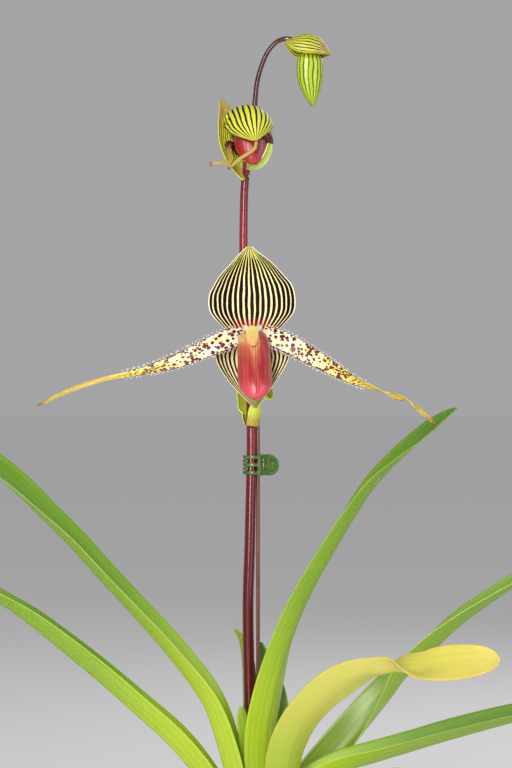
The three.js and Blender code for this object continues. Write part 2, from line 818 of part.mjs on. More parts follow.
function makePot() {
  const rimFoot = POT_HEIGHT - POT_RIM_HEIGHT;
  const innerTop = POT_RIM_RADIUS - POT_WALL - 1.5;
  const profile = [
    [0, 0],
    [POT_BASE_RADIUS - 2, 0],
    [POT_BASE_RADIUS, 2],
    [POT_WAIST_RADIUS, rimFoot],
    [POT_RIM_RADIUS - 2.5, rimFoot + 0.5],
    [POT_RIM_RADIUS - 1.5, rimFoot + 2.5],
    [POT_RIM_RADIUS, POT_HEIGHT - 3],
    [POT_RIM_RADIUS - 2, POT_HEIGHT],
    [innerTop + 1.5, POT_HEIGHT],
    [innerTop, POT_HEIGHT - 2],
    [POT_BASE_RADIUS - POT_WALL, POT_FLOOR],
    [0, POT_FLOOR],
  ].map(([radius, height]) => new THREE.Vector2(radius, height));
  const body = new THREE.LatheGeometry(profile, 36);
  body.rotateX(Math.PI / 2);
  const drains = [];
  for (let i = 0; i < DRAIN_COUNT; i += 1) {
    const angle = (2 * Math.PI * (i + 0.25)) / DRAIN_COUNT;
    const x = DRAIN_CIRCLE * Math.cos(angle);
    const y = DRAIN_CIRCLE * Math.sin(angle);
    drains.push(cylinder(x, y, -1, POT_FLOOR + 1, DRAIN_RADIUS));
  }
  return cutBack(body, drains);
}

// Growing medium: coarse bark whose top is a field of small tilted chips.

function barkHeight(x, y) {
  const coarse = Math.sin(x * 0.31 + 1.3) * Math.cos(y * 0.27 - 0.4);
  const fine = Math.sin(x * 0.83 - y * 0.47) * Math.sin(y * 0.91 + x * 0.38);
  return MEDIUM_TOP + MEDIUM_RELIEF * (0.55 * coarse + 0.6 * fine);
}

function makeMedium() {
  const sides = 32;
  const ringCount = 6;
  const slope = (POT_RIM_RADIUS - 2 * POT_WALL - 1.5 - POT_BASE_RADIUS + 2 * POT_WALL)
    / (POT_HEIGHT - 2 - POT_FLOOR);
  const floor = POT_FLOOR + CLEARANCE;
  const bottomRadius = POT_BASE_RADIUS - POT_WALL - 2 * CLEARANCE;
  const topRadius = bottomRadius + slope * (MEDIUM_TOP - POT_FLOOR) - 1;
  const rings = [];
  for (const [radius, level] of [[1, floor], [bottomRadius, floor]]) {
    rings.push(ringAt(radius, sides, () => level));
  }
  for (let i = ringCount; i >= 1; i -= 1) {
    const radius = i === ringCount ? topRadius : (topRadius * i) / ringCount;
    rings.push(ringAt(radius, sides, i === ringCount ? () => MEDIUM_TOP - 2 : barkHeight));
  }
  return loft(rings);
}

function ringAt(radius, sides, height) {
  const ring = [];
  for (let j = 0; j < sides; j += 1) {
    const angle = (2 * Math.PI * j) / sides;
    const x = radius * Math.cos(angle);
    const y = radius * Math.sin(angle);
    ring.push(new THREE.Vector3(x, y, height(x, y)));
  }
  return ring;
}

// Crown: the swollen foot where all the leaves sheathe each other, with its roots.

function rootCurve([heading, reach, drop]) {
  const [x, y] = CROWN_PLACE;
  const low = CROWN_FOOT;
  const cos = Math.cos(degrees(heading));
  const sin = Math.sin(degrees(heading));
  return new THREE.CatmullRomCurve3([
    new THREE.Vector3(x + cos * 6, y + sin * 6, low),
    new THREE.Vector3(x + cos * reach * 0.6, y + sin * reach * 0.6, low - drop * 0.3),
    new THREE.Vector3(x + cos * reach * 0.9, y + sin * reach * 0.9, low - drop * 0.7),
    new THREE.Vector3(x + cos * reach, y + sin * reach, low - drop),
  ]);
}

function rootTube(root, radius) {
  const section = new THREE.Shape();
  section.absarc(0, 0, radius, 0, 2 * Math.PI, false);
  return new THREE.ExtrudeGeometry(section, {
    extrudePath: rootCurve(root), steps: 7, curveSegments: 3, bevelEnabled: false,
  });
}

// Grooves between the sheathing leaf bases run up the crown.
function makeCrown(grow = 0) {
  const [x, y] = CROWN_PLACE;
  const sides = 3 * CROWN_SHEATHS;
  const rings = CROWN_RINGS.map(([height, halfWidth, halfDepth]) => {
    const ring = [];
    for (let j = 0; j < sides; j += 1) {
      const angle = (2 * Math.PI * j) / sides;
      const swell = 1 - CROWN_GROOVE * (1 - Math.abs(Math.sin((CROWN_SHEATHS / 2) * angle)));
      const across = (halfWidth * swell + grow) * Math.cos(angle);
      const deep = (halfDepth * swell + grow) * Math.sin(angle);
      ring.push(new THREE.Vector3(x + across, y + deep, height));
    }
    return ring;
  });
  const body = loft(rings);
  const roots = ROOTS.map((root) => rootTube(root, ROOT_RADIUS + grow));
  return join([body, ...roots]);
}

// Clip: two jaws with round thumb pads on one sprung pin.

function clawSector(start, end, low, high) {
  const [x, y] = CLAW_CENTRE;
  const [innerX, innerY] = CLAW_INNER;
  const clockwise = end < start;
  const shape = new THREE.Shape();
  shape.absellipse(x, y, innerX, innerY, degrees(start), degrees(end), clockwise);
  const outerX = innerX + CLAW_WALL;
  const outerY = innerY + CLAW_WALL;
  shape.absellipse(x, y, outerX, outerY, degrees(end), degrees(start), !clockwise);
  const geometry = new THREE.ExtrudeGeometry(shape, {
    depth: high - low, bevelEnabled: false, curveSegments: 6,
  });
  geometry.translate(0, 0, low);
  return geometry;
}

function bar(from, to, width, low, high) {
  const length = Math.hypot(to[0] - from[0], to[1] - from[1]);
  const geometry = new THREE.BoxGeometry(length, width, high - low);
  geometry.rotateZ(Math.atan2(to[1] - from[1], to[0] - from[0]));
  geometry.translate((from[0] + to[0]) / 2, (from[1] + to[1]) / 2, (low + high) / 2);
  return geometry;
}

// side is -1 for the jaw nearer the viewer and 1 for the one behind.
function makeJaw(side, tineHeights, tineEnd, lugs) {
  const reach = PAD_RADIUS + 0.6;
  const low = CLIP_HEIGHT - reach;
  const high = CLIP_HEIGHT + reach;
  const [hingeX, hingeY] = HINGE_PLACE;
  const pieces = [clawSector(side * 34, side * 62, low, high)];
  for (const middle of tineHeights) {
    const foot = middle - TINE_HEIGHT / 2;
    pieces.push(clawSector(side * TINE_START, side * tineEnd, foot, foot + TINE_HEIGHT));
  }
  const pad = new THREE.CylinderGeometry(PAD_RADIUS, PAD_RADIUS, PAD_THICKNESS, 18);
  const heading = degrees(side * PAD_ANGLE);
  const padX = hingeX + PAD_REACH * Math.cos(heading);
  const padY = hingeY + PAD_REACH * Math.sin(heading);
  pad.rotateZ(heading);
  pad.translate(padX, padY, CLIP_HEIGHT);
  const clearing = cylinder(hingeX, hingeY, low - 1, high + 1, LUG_RADIUS + 0.5, 12);
  pieces[0] = cutBack(pieces[0], [clearing]);
  pieces.push(cutBack(pad, [clearing]));
  for (let i = 0; i < RIB_COUNT; i += 1) {
    const rib = new THREE.CylinderGeometry(RIB_RADIUS, RIB_RADIUS, RIB_LENGTH, 4);
    rib.rotateZ(-Math.PI / 2);
    rib.translate(PAD_RADIUS - RIB_LENGTH / 2 + 0.3, side * (PAD_THICKNESS / 2 - 0.1), 0);
    rib.rotateY(-degrees(RIB_PITCH * (i - (RIB_COUNT - 1) / 2)));
    rib.rotateZ(heading);
    rib.translate(padX, padY, CLIP_HEIGHT);
    pieces.push(rib);
  }
  const webX = CLAW_CENTRE[0] + (CLAW_INNER[0] + CLAW_WALL / 2) * Math.cos(degrees(46));
  const webY = CLAW_CENTRE[1] + side * (CLAW_INNER[1] + CLAW_WALL / 2) * Math.sin(degrees(46));
  for (const [foot, top] of lugs) {
    const arms = [
      cylinder(hingeX, hingeY, foot, top, LUG_RADIUS, 12),
      bar([hingeX, hingeY], [webX, webY], 1.8, foot, top),
      bar([hingeX, hingeY], [padX, padY], 1.5, foot, top),
    ];
    pieces.push(join(arms));
  }
  const bore = cylinder(hingeX, hingeY, low - 1, high + 1, PIN_BORE_RADIUS, 12);
  return cutBack(join(pieces), [bore]);
}

function makeSpring() {
  const [x, y] = HINGE_PLACE;
  const half = PAD_RADIUS + 0.9;
  const coilPitch = 0.8;
  const coilRadius = PIN_RADIUS + 0.85;
  const profile = [new THREE.Vector2(0, -half), new THREE.Vector2(PIN_RADIUS, -half)];
  for (const step of [-1, 0, 1]) {
    const height = step * coilPitch;
    profile.push(new THREE.Vector2(PIN_RADIUS, height - coilPitch / 2));
    profile.push(new THREE.Vector2(coilRadius, height - 0.15));
    profile.push(new THREE.Vector2(coilRadius, height + 0.15));
  }
  profile.push(new THREE.Vector2(PIN_RADIUS, 1.5 * coilPitch));
  profile.push(new THREE.Vector2(PIN_RADIUS, half), new THREE.Vector2(0, half));
  const geometry = new THREE.LatheGeometry(profile, 12);
  geometry.rotateX(Math.PI / 2);
  geometry.translate(x, y, CLIP_HEIGHT);
  return geometry;
}

// Assembly

const leafShape = { steps: 20, thickness: LEAF_THICKNESS };
const LEAVES = [
  ['leaf_upper_left', LEAF_UPPER_LEFT, { steps: 20, leaning: 1 }, COLOURS.leaf],
  ['leaf_lower_left', LEAF_LOWER_LEFT, { steps: 17, leaning: 1 }, COLOURS.leaf],
  ['leaf_tall', LEAF_TALL, { steps: 20, leaning: -1 }, COLOURS.leaf],
  ['leaf_yellow', LEAF_YELLOW, { steps: 22, leaning: -1 }, COLOURS.yellowLeaf],
  ['leaf_behind', LEAF_BEHIND, { steps: 18, leaning: -1 }, COLOURS.leaf],
  ['leaf_low_right', LEAF_LOW_RIGHT, { steps: 16, leaning: -1 }, COLOURS.leaf],
  ['leaf_short_right', LEAF_SHORT_RIGHT, { steps: 12, leaning: -1 }, COLOURS.paleLeaf],
  ['leaf_rear', LEAF_REAR, { steps: 12, leaning: -1 }, COLOURS.leaf],
  ['leaf_small', LEAF_SMALL, { steps: 10, leaning: -1 }, COLOURS.paleLeaf],
];

const crownRoom = makeCrown(CLEARANCE);
const stakeRoom = cylinder(...STAKE_PLACE, STAKE_FOOT - CLEARANCE, STAKE_TOP, STAKE_RADIUS + CLEARANCE);

addPiece('clay_pot', makePot(), COLOURS.clay, 0.9);
addPiece('bark_medium', cutBack(makeMedium(), [crownRoom, stakeRoom]), COLOURS.bark, 0.95);
addPiece('crown', cutBack(makeCrown(), [stakeRoom]), COLOURS.crown, 0.6);
const stake = cylinder(...STAKE_PLACE, STAKE_FOOT, STAKE_TOP, STAKE_RADIUS, 10);
addPiece('stake', stake, COLOURS.stake, 0.4);

function makeStem(grow = 0) {
  return join([
    stalk(STEM, 9, grow),
    stalk(OVARY, 8, grow),
    stalk(SECOND_OVARY, 8, grow),
    ball(seen(...FLOWER_SEAT).toArray(), Array(3).fill(FLOWER_SEAT_RADIUS + grow), 12, 8),
    ball(seen(...SECOND_SEAT).toArray(), Array(3).fill(SECOND_SEAT_RADIUS + grow), 10, 6),
  ]);
}

const stemRoom = makeStem(CLEARANCE);
addPiece('flower_stem', cutBack(makeStem(), [crownRoom]), COLOURS.stem, 0.35);

const leafRooms = [];
for (const [name, stations, shape, colour] of LEAVES) {
  const whole = { ...leafShape, ...shape };
  const room = blade(stations, { ...whole, grow: CLEARANCE });
  const solid = blade(stations, whole);
  addPiece(name, cutBack(solid, [crownRoom, stemRoom, stakeRoom, ...leafRooms]), colour, 0.35);
  leafRooms.push(room);
}

const sheath = blade(SHEATH, { steps: 10, thickness: 0.8, leaning: -1, rolled: true, centred: false });
addPiece('stem_sheath', cutBack(sheath, [crownRoom, stemRoom, stakeRoom, ...leafRooms]), COLOURS.sheath);

const sepal = { thickness: SEPAL_THICKNESS, across: 6, rolled: true };
const petal = { thickness: PETAL_THICKNESS, across: 2, softness: 0.6 };

const BLADES = [
  ['dorsal_sepal', DORSAL_SEPAL, { ...sepal, steps: 13, centred: false }, COLOURS.stripedSepal],
  ['lower_sepal', LOWER_SEPAL, { ...sepal, steps: 12, centred: false }, COLOURS.stripedSepal],
  ['petal_left', PETAL_LEFT, { ...petal, steps: 22 }, COLOURS.petal],
  ['petal_right', PETAL_RIGHT, { ...petal, steps: 26 }, COLOURS.petal],
  ['staminode', STAMINODE, { ...petal, steps: 6, across: 4, thickness: 1.8 }, COLOURS.staminode],
  ['bract', BRACT, { ...sepal, steps: 9, centred: false }, COLOURS.bract],
];

const flowerRooms = [];
for (const [name, stations, shape, colour] of BLADES) {
  const solid = blade(stations, shape);
  addPiece(name, cutBack(solid, [stemRoom, stakeRoom, ...flowerRooms]), colour, 0.5);
  flowerRooms.push(blade(stations, { ...shape, grow: CLEARANCE }));
}
const pouchShape = pouch(POUCH, 18, POUCH_WALL, POUCH_RIM_DIP);
addPiece('pouch', cutBack(pouchShape, [stemRoom, ...flowerRooms]), COLOURS.pouch, 0.35);

const SECOND_BLADES = [
  ['second_hood', SECOND_HOOD, { ...sepal, steps: 14, crosswise: true }, COLOURS.bud],
  ['second_petal_left', SECOND_PETAL_LEFT, { ...petal, steps: 18 }, COLOURS.petal],
  ['second_petal_right', SECOND_PETAL_RIGHT, { ...petal, steps: 18 }, COLOURS.petal],
  ['second_lower_sepal', SECOND_LOWER_SEPAL, { ...sepal, steps: 9 }, COLOURS.bract],
  ['second_bract', SECOND_BRACT, { ...sepal, steps: 10 }, COLOURS.bract],
];

const secondPouch = pouch(SECOND_POUCH, 16, POUCH_WALL, 0);
addPiece('second_pouch', cutBack(secondPouch, [stemRoom]), COLOURS.pouch, 0.35);
const secondRooms = [loft(SECOND_POUCH.map((ring) => levelRing(ring, 16, -CLEARANCE)).reverse())];
for (const [name, stations, shape, colour] of SECOND_BLADES) {
  const solid = blade(stations, shape);
  addPiece(name, cutBack(solid, [stemRoom, ...secondRooms]), colour, 0.5);
  secondRooms.push(blade(stations, { ...shape, grow: CLEARANCE }));
}

const topBractShape = { ...sepal, steps: 10 };
addPiece('top_bract', cutBack(blade(TOP_BRACT, topBractShape), [stemRoom]), COLOURS.bract, 0.5);
const topBractRoom = blade(TOP_BRACT, { ...topBractShape, grow: CLEARANCE });
addPiece('top_bud', cutBack(bud(TOP_BUD, 14), [stemRoom, topBractRoom]), COLOURS.bud, 0.4);

const frontLugs = [[CLIP_HEIGHT + 4.4, CLIP_HEIGHT + 7.4], [CLIP_HEIGHT - 7.4, CLIP_HEIGHT - 4.4]];
const backLugs = [[CLIP_HEIGHT + 1.3, CLIP_HEIGHT + 4.1], [CLIP_HEIGHT - 4.1, CLIP_HEIGHT - 1.3]];
const frontTines = [-TINE_PITCH, 0, TINE_PITCH].map((step) => CLIP_HEIGHT + step);
const backTines = [-TINE_PITCH / 2, TINE_PITCH / 2].map((step) => CLIP_HEIGHT + step);
addPiece('clip_front_jaw', makeJaw(-1, frontTines, FRONT_TINE_END, frontLugs), COLOURS.clip, 0.35);
addPiece('clip_back_jaw', makeJaw(1, backTines, BACK_TINE_END, backLugs), COLOURS.clip, 0.35);
addPiece('clip_spring', makeSpring(), COLOURS.steel, 0.3, 0.9);

export default orchid;
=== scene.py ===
"""The looks of a potted slipper orchid in flower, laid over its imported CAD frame."""
from __future__ import annotations

import logging
import math
import random
from dataclasses import dataclass, field
from enum import Enum
from typing import Callable, Optional, Sequence

import bmesh
import bpy
from mathutils import Euler, Matrix, Vector


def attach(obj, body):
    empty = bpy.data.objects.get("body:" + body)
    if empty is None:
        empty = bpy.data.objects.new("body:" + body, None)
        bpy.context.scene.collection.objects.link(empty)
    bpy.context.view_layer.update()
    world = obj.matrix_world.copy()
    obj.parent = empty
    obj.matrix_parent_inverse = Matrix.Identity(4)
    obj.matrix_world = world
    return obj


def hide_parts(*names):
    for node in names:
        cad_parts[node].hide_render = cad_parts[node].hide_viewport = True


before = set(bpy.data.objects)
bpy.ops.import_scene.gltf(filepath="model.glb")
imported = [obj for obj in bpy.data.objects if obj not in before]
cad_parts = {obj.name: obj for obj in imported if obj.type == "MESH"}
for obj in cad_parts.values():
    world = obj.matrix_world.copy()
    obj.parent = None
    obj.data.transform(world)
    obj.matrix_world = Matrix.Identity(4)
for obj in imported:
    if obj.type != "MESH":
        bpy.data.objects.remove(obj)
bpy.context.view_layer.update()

LOG = logging.getLogger("orchid")

Station = tuple[float, ...]
Stations = tuple[Station, ...]
Place = Callable[[float, float], Vector]
Pattern = tuple[bpy.types.NodeSocket, Optional[bpy.types.NodeSocket]]

MM = 0.001
SEED = 7
PLANT = "plant"
FRONT_JAW = "front_jaw"

# The picture is 512 by 768, taken from the front 1500 mm away, with 0.7 mm to a pixel at the
# depth of the flower stem. The stations below are the ones that the CAD solids follow.
PIXEL = 0.7
VIEW_DISTANCE = 1500.0
VIEW_COLUMN = 256.0
VIEW_ROW = 384.0
VIEW_X = 4.2
VIEW_Z = 468.2
PICTURE_HEIGHT = 768.0
SENSOR = 36.0

POT_HEIGHT = 148.0
POT_BASE_RADIUS = 54.0
POT_WAIST_RADIUS = 69.0
POT_RIM_RADIUS = 76.0
POT_RIM_HEIGHT = 28.0
POT_WALL = 5.0
POT_FLOOR = 8.0
DRAIN_RADIUS = 5.0
DRAIN_CIRCLE = 27.0
DRAIN_COUNT = 3
MEDIUM_TOP = 132.0
MEDIUM_RELIEF = 3.2
CROWN_PLACE = (3.0, -7.0)
CROWN_FOOT = 120.0
CROWN_SHEATHS = 6
CROWN_GROOVE = 0.13
ROOT_RADIUS = 3.2
STEM_FOOT_RADIUS = 4.1
OVARY_RADIUS = 3.0
FLOWER_SEAT = (252.0, 333.0, -13.0)
FLOWER_SEAT_RADIUS = 5.5
SECOND_SEAT = (247.0, 157.0, 0.0)
SECOND_SEAT_RADIUS = 3.6
STAKE_RADIUS = 1.35
STAKE_PLACE = (5.6, 4.2)
STAKE_FOOT = 32.0
STAKE_TOP = 446.0
LEAF_THICKNESS = 1.1
SEPAL_THICKNESS = 0.8
PETAL_THICKNESS = 0.8
POUCH_WALL = 0.9
POUCH_RIM_DIP = 3.0
POUCH_LIP = 0.3
LIP_PART = 0.1
LIGHT_DEPTH = 2.0
FINE_STEPS = 32
SAMPLES_ACROSS = 12
RIPPLE_LAG = 1.9
RIPPLE_ENDS = 6
NEARBY = 0.05
MARGIN_BACK = 0.15
RIB_DEPTH = 0.09
HAIR_LENGTHS = (0.7, 1.3)
HAIR_MIDDLE = 0.42
MERGE = 1e-4
TURN_MERGE = 1e-3

CLIP_HEIGHT = 411.6
CLAW_CENTRE = (2.4, 2.6)
CLAW_INNER = (6.1, 4.7)
CLAW_WALL = 1.5
TINE_HEIGHT = 2.4
TINE_PITCH = 5.5
TINE_START = 40.0
HINGE_PLACE = (9.5, 2.6)
PIN_RADIUS = 0.9
PIN_BORE_RADIUS = 1.0
LUG_RADIUS = 2.0
PAD_RADIUS = 7.0
PAD_THICKNESS = 1.6
PAD_ANGLE = 40.0
PAD_REACH = 6.8
PAD_RIM_START = 0.35
WEB_ANGLE = 46.0
CORNER_POWER = 0.45
EDGE_BEVEL = 0.25
EYE_EDGE = 0.2
GRIP_RIBS = 11
GRIP_PITCH = 17.0
GRIP_RADIUS = 0.85
RIDGE_RADIUS = 0.55
WIRE_RADIUS = 0.36
WIRE_TURNS = 3

# The numbers above are in mm and degrees, apart from parts of a whole and counts of steps.
# Blades: column, row, depth, half width, turn of the upper face to the viewer, fold of each half.
# Stems: column, row, depth, radius. Pouches and buds: column, row, depth, half width, half depth.
# Roots: heading in degrees, reach and drop in mm. The crown: height, half width, half depth in mm.
LEAF_UPPER_LEFT: Stations = (
    (249, 838, -8, 9, 0, 62), (241, 797, -13, 16, 2, 56), (230, 748, -15, 18.5, 4, 54),
    (212, 698, -15, 18, 7, 50), (175, 648, -14, 17.5, 10, 44), (141, 610, -13, 17, 11, 40),
    (107, 573.5, -12, 17, 12, 38), (77, 540, -11, 17, 13, 36), (49, 512, -10, 17, 16, 32),
    (20, 483, -9, 17, 20, 27), (-10, 459, -8, 16, 24, 24), (-44, 440, -7, 14.5, 28, 22),
    (-78, 427, -6, 10, 30, 20), (-100, 421, -6, 1.2, 30, 18),
)
LEAF_LOWER_LEFT: Stations = (
    (246, 842, -2, 8, 0, 66), (226, 803, -2, 15, 0, 62), (203, 768, -2, 18, 1, 60),
    (176, 736, -2, 18.5, 2, 58), (144.5, 708, -1, 18, 1, 57), (103.5, 672.5, 1, 17, 0, 56),
    (66, 642.5, 3, 16, 0, 54), (32, 616.5, 5, 14, 2, 52), (0, 596, 7, 11, 5, 48),
    (-40, 573, 9, 10, 9, 42), (-78, 557, 10, 7, 12, 36), (-108, 548, 11, 1.2, 14, 30),
)
LEAF_SMALL: Stations = (
    (248, 832, -5, 5, -10, 50), (247, 790, -6.5, 6.6, -16, 42), (245, 750, -8, 7.6, -24, 38),
    (243, 727, -9, 8, -30, 34), (241.5, 714, -9.5, 7, -34, 32), (241, 706.5, -10, 2.8, -36, 30),
)
LEAF_TALL: Stations = (
    (254, 840, -8, 8, -34, 52), (256, 800, -11, 14, -38, 40), (257.5, 768, -13, 16.5, -40, 28),
    (260, 732, -14, 18, -40, 22), (265, 704, -14, 18, -39, 20), (271, 677, -13, 17.5, -36, 20),
    (280, 644, -12, 17, -30, 22), (292.5, 611, -10, 17, -24, 25), (308, 580.5, -8, 16.5, -18, 28),
    (328, 546.5, -5, 16.5, -11, 31), (348, 515, -1, 16, -4, 32), (371, 482, 3, 15, 3, 31),
    (392.5, 458.5, 7, 14, 12, 26), (415, 437.5, 11, 13, 18, 17), (435, 421, 15, 10, 20, 15),
    (448, 412, 18, 5.5, 20, 14), (457, 407.5, 20, 1, 20, 12),
)
LEAF_YELLOW: Stations = (
    (258, 842, -12, 8, -30, 56), (270, 808, -24, 13, -48, 34), (280, 780, -33, 14.5, -58, 20),
    (286, 750, -42, 15, -62, 15), (297, 725, -52, 15, -62, 14), (314, 703, -64, 15, -62, 14),
    (338, 683, -78, 15, -60, 15), (365, 668.5, -92, 14.8, -44, 26), (389, 663, -104, 14.5, -14, 44),
    (408, 663.5, -114, 14, 14, 44), (430, 662.5, -124, 13.4, 46, 26),
    (455, 661.5, -134, 12.6, 60, 14), (480, 660, -143, 10.6, 62, 13), (494, 661, -147, 6.8, 62, 12),
    (500, 662, -149, 2.2, 62, 12),
)
LEAF_BEHIND: Stations = (
    (262, 838, 2, 8, 20, 60), (286, 806, 8, 15, 36, 48), (306, 777, 12, 17, 44, 41),
    (333, 745, 16, 18, 44, 40), (362, 712.5, 18, 19, 28, 40), (388, 684, 18, 20, 8, 40),
    (407, 663, 18, 19, -8, 38), (430, 641.5, 18, 18, -9, 36), (455, 621, 18, 16.6, -2, 34),
    (484, 600.5, 18, 15, 3, 31), (512, 582, 18, 13.5, 7, 28), (550, 561, 18, 10.5, 10, 26),
    (586, 546, 18, 6.5, 12, 24), (612, 538, 18, 1.2, 12, 22),
)
LEAF_LOW_RIGHT: Stations = (
    (259, 842, -9, 8, 0, 66), (282, 808, -14, 14, 0, 62), (306, 781, -16, 16.5, 2, 58),
    (338, 763, -17, 17, 4, 52), (372, 753, -18, 17, 6, 46), (410, 742, -20, 16.5, 7, 43),
    (445, 731.5, -22, 16.5, 8, 41), (480, 722, -25, 16, 9, 39), (512, 714, -28, 15, 9, 37),
    (548, 706, -32, 12, 10, 34), (580, 700, -36, 7.5, 10, 30), (602, 697, -39, 1.2, 10, 28),
)
LEAF_SHORT_RIGHT: Stations = (
    (256, 848, -12, 8, 4, 62), (286, 829, -20, 13, 8, 46), (318, 811, -26, 14, 14, 36),
    (352, 794, -31, 13.5, 18, 32), (382, 780, -35, 11, 20, 30), (396, 773.5, -37, 8, 20, 28),
    (403, 770.5, -38, 3, 20, 26),
)
LEAF_REAR: Stations = (
    (256, 836, 8, 8, 20, 50), (266, 790, 14, 13, 46, 20), (272, 745, 18, 14.5, 52, 14),
    (274, 708, 20, 14, 52, 13), (270.5, 678, 20, 10.5, 48, 14), (264.5, 655, 19, 5.5, 42, 16),
    (260.5, 642, 18, 1.4, 38, 16),
)
SHEATH: Stations = (
    (250.5, 752, 8.6, 5.5, 82, 58), (250.5, 725, 8.2, 5.6, 84, 58), (250, 692, 7.8, 5.6, 86, 56),
    (248.5, 662, 7.6, 5.0, 86, 50), (243.5, 642, 7.8, 3.0, 84, 30),
    (235.5, 629.5, 8.6, 1.2, 80, 12),
)
STEM: Stations = (
    (250.5, 850, 2, 4.2), (249.8, 768, 2, STEM_FOOT_RADIUS), (249.5, 700, 2, 4.0),
    (248, 610, 2, 3.9), (249.7, 545, 2, 3.8), (251.3, 466, 2, 3.55), (251.5, 430, 2.2, 3.6),
    (250.4, 395, 5, 3.2), (248, 350, 8, 3.1), (243.8, 270, 8, 3.1), (243.8, 209, 6.5, 2.9),
    (245.5, 176, 6.5, 2.8), (250.5, 140, 10, 2.3), (254.5, 107, 10, 1.9), (256.5, 86, 8, 1.75),
    (260, 70.5, 6, 1.7), (267, 53, 4, 1.65), (276.5, 42, 2, 1.65), (287, 38.5, 0, 1.8),
    (297, 42.5, 0, 2.0), (305, 46.5, 0, 2.2), (309, 54, 0, 2.2),
)
OVARY: Stations = (
    (251.4, 430, 2.2, 3.0), (251.8, 408, -2.5, OVARY_RADIUS), (252.4, 372, -5, 3.2),
    (252.2, 350, -8, 3.2), (252, 333, -13, 3.0),
)
SECOND_OVARY: Stations = (
    (245.4, 181, 6.5, 2.4), (246, 170, 3.5, 2.6), (247, 157, 0, 2.4),
)
BRACT: Stations = (
    (257.6, 426.5, 4.6, 14.4, 150, 168), (258, 420, 4.7, 16.2, 144, 160),
    (257.7, 412, 5.8, 17.2, 130, 142), (254.8, 403, 9.4, 15.8, 98, 88),
    (255.6, 393.5, 10, 16.4, 94, 68), (259, 384.5, 10.4, 12, 90, 54), (262, 376, 10.6, 1.2, 90, 46),
)
DORSAL_SEPAL: Stations = (
    (252, 335, -13, 15, 90, 22), (252, 330, -12.6, 19.4, 90, 26), (252, 324, -12, 25.2, 90, 34),
    (252, 315, -11, 31.8, 90, 42), (252, 305, -10, 33.7, 90, 46), (251.8, 292, -9.5, 32.8, 90, 48),
    (251, 279, -10, 27.6, 90, 46), (250.4, 266.5, -12, 20.2, 90, 42),
    (249.6, 255, -15.5, 10.7, 90, 38), (249.3, 246, -19.5, 1.2, 90, 34),
)
LOWER_SEPAL: Stations = (
    (252, 335.5, -12.8, 12, 90, 16), (252.2, 344, -12.6, 22, 90, 18),
    (252.5, 355, -13, 27.4, 90, 34), (252.8, 367, -13.6, 26.4, 90, 48),
    (253.4, 380, -14.8, 20, 90, 46), (254.3, 392, -16.5, 12.4, 90, 42),
    (255, 401, -18.4, 6.2, 90, 38), (255.5, 408, -20.5, 1.2, 90, 34),
)
PETAL_LEFT: Stations = (
    (248, 333, -16.5, 4, 84, 20), (237, 336.5, -20.5, 6.6, 82, 16), (223, 341, -24, 6.9, 80, 14),
    (200, 351, -27, 6.2, 78, 14), (177, 361, -28, 5.0, 76, 14), (147, 370, -28, 3.2, 70, 16),
    (128, 374, -27, 2.3, 66, 18), (108, 378, -26, 1.7, 70, 16), (86, 384.5, -26, 1.8, 84, 10),
    (68, 391, -25, 1.6, 78, 10), (52, 398.5, -24, 1.3, 70, 10), (37, 406, -23, 0.8, 66, 8),
)
PETAL_RIGHT: Stations = (
    (256, 333, -16.5, 4, 84, 20), (267, 335.5, -20.5, 6.2, 82, 16), (283, 341, -24, 6.6, 80, 14),
    (300, 350, -26, 6.6, 78, 14), (317, 359.5, -26, 5.8, 76, 14), (335, 370, -25, 4.6, 72, 16),
    (353, 380, -23.5, 3.2, 66, 16), (369, 386.5, -21, 2.5, 40, 14), (381, 391, -19, 2.2, 8, 10),
    (396, 396.5, -16, 2.3, -72, 8), (407.5, 400.5, -13, 2.0, -172, 6),
    (419, 409, -11, 1.9, -238, 6), (428, 417, -10, 1.5, -250, 6), (435, 424, -9, 0.8, -256, 6),
)
STAMINODE: Stations = (
    (252, 326.4, -16.6, 2.8, 90, -12), (252, 328, -21.5, 4.0, 90, -14),
    (252.2, 330.5, -27.5, 4.5, 90, -14), (252.4, 334, -33.5, 4.4, 90, -20),
    (252.7, 338, -38.4, 3.8, 90, -26), (252.9, 342.5, -41.4, 2.8, 90, -26),
    (253.1, 346, -42.8, 1.0, 90, -22),
)
POUCH: Stations = (
    (252.7, 332, -26, 6.6, 5.2), (252.9, 335.2, -27.3, 9.0, 6.8), (253.2, 339.5, -29, 10.4, 8.0),
    (253.6, 346, -31, 11.0, 8.8), (254.3, 358, -35, 11.5, 9.8), (254.6, 371, -39.5, 11.8, 10.8),
    (255, 382, -43.5, 11.7, 10.8), (255.4, 390, -46.5, 9.8, 9.6), (255.6, 396, -49, 6.8, 6.8),
    (255.7, 399.8, -51, 2.4, 2.6),
)
SECOND_POUCH: Stations = (
    (251, 134, -5.5, 10.6, 6.0), (251, 140, -5.8, 11.8, 6.6), (251.3, 148, -6.2, 11.4, 6.8),
    (252, 156, -7, 8.6, 6.2), (252.8, 162, -8, 4.8, 4.4), (253.3, 165, -8.6, 1.6, 1.6),
)
SECOND_HOOD: Stations = (
    (247, 155, 4.8, 5, 30), (246, 140, 6.4, 12, 56), (245.6, 124, 6.4, 19, 74),
    (246, 110, 3, 24, 84), (247.5, 105, -4, 25.5, 88), (249.5, 109.5, -12, 25.5, 88),
    (251.5, 120, -18, 22.5, 86), (253.5, 131, -21, 13.5, 78), (255, 140.5, -22.5, 1.0, 60),
)
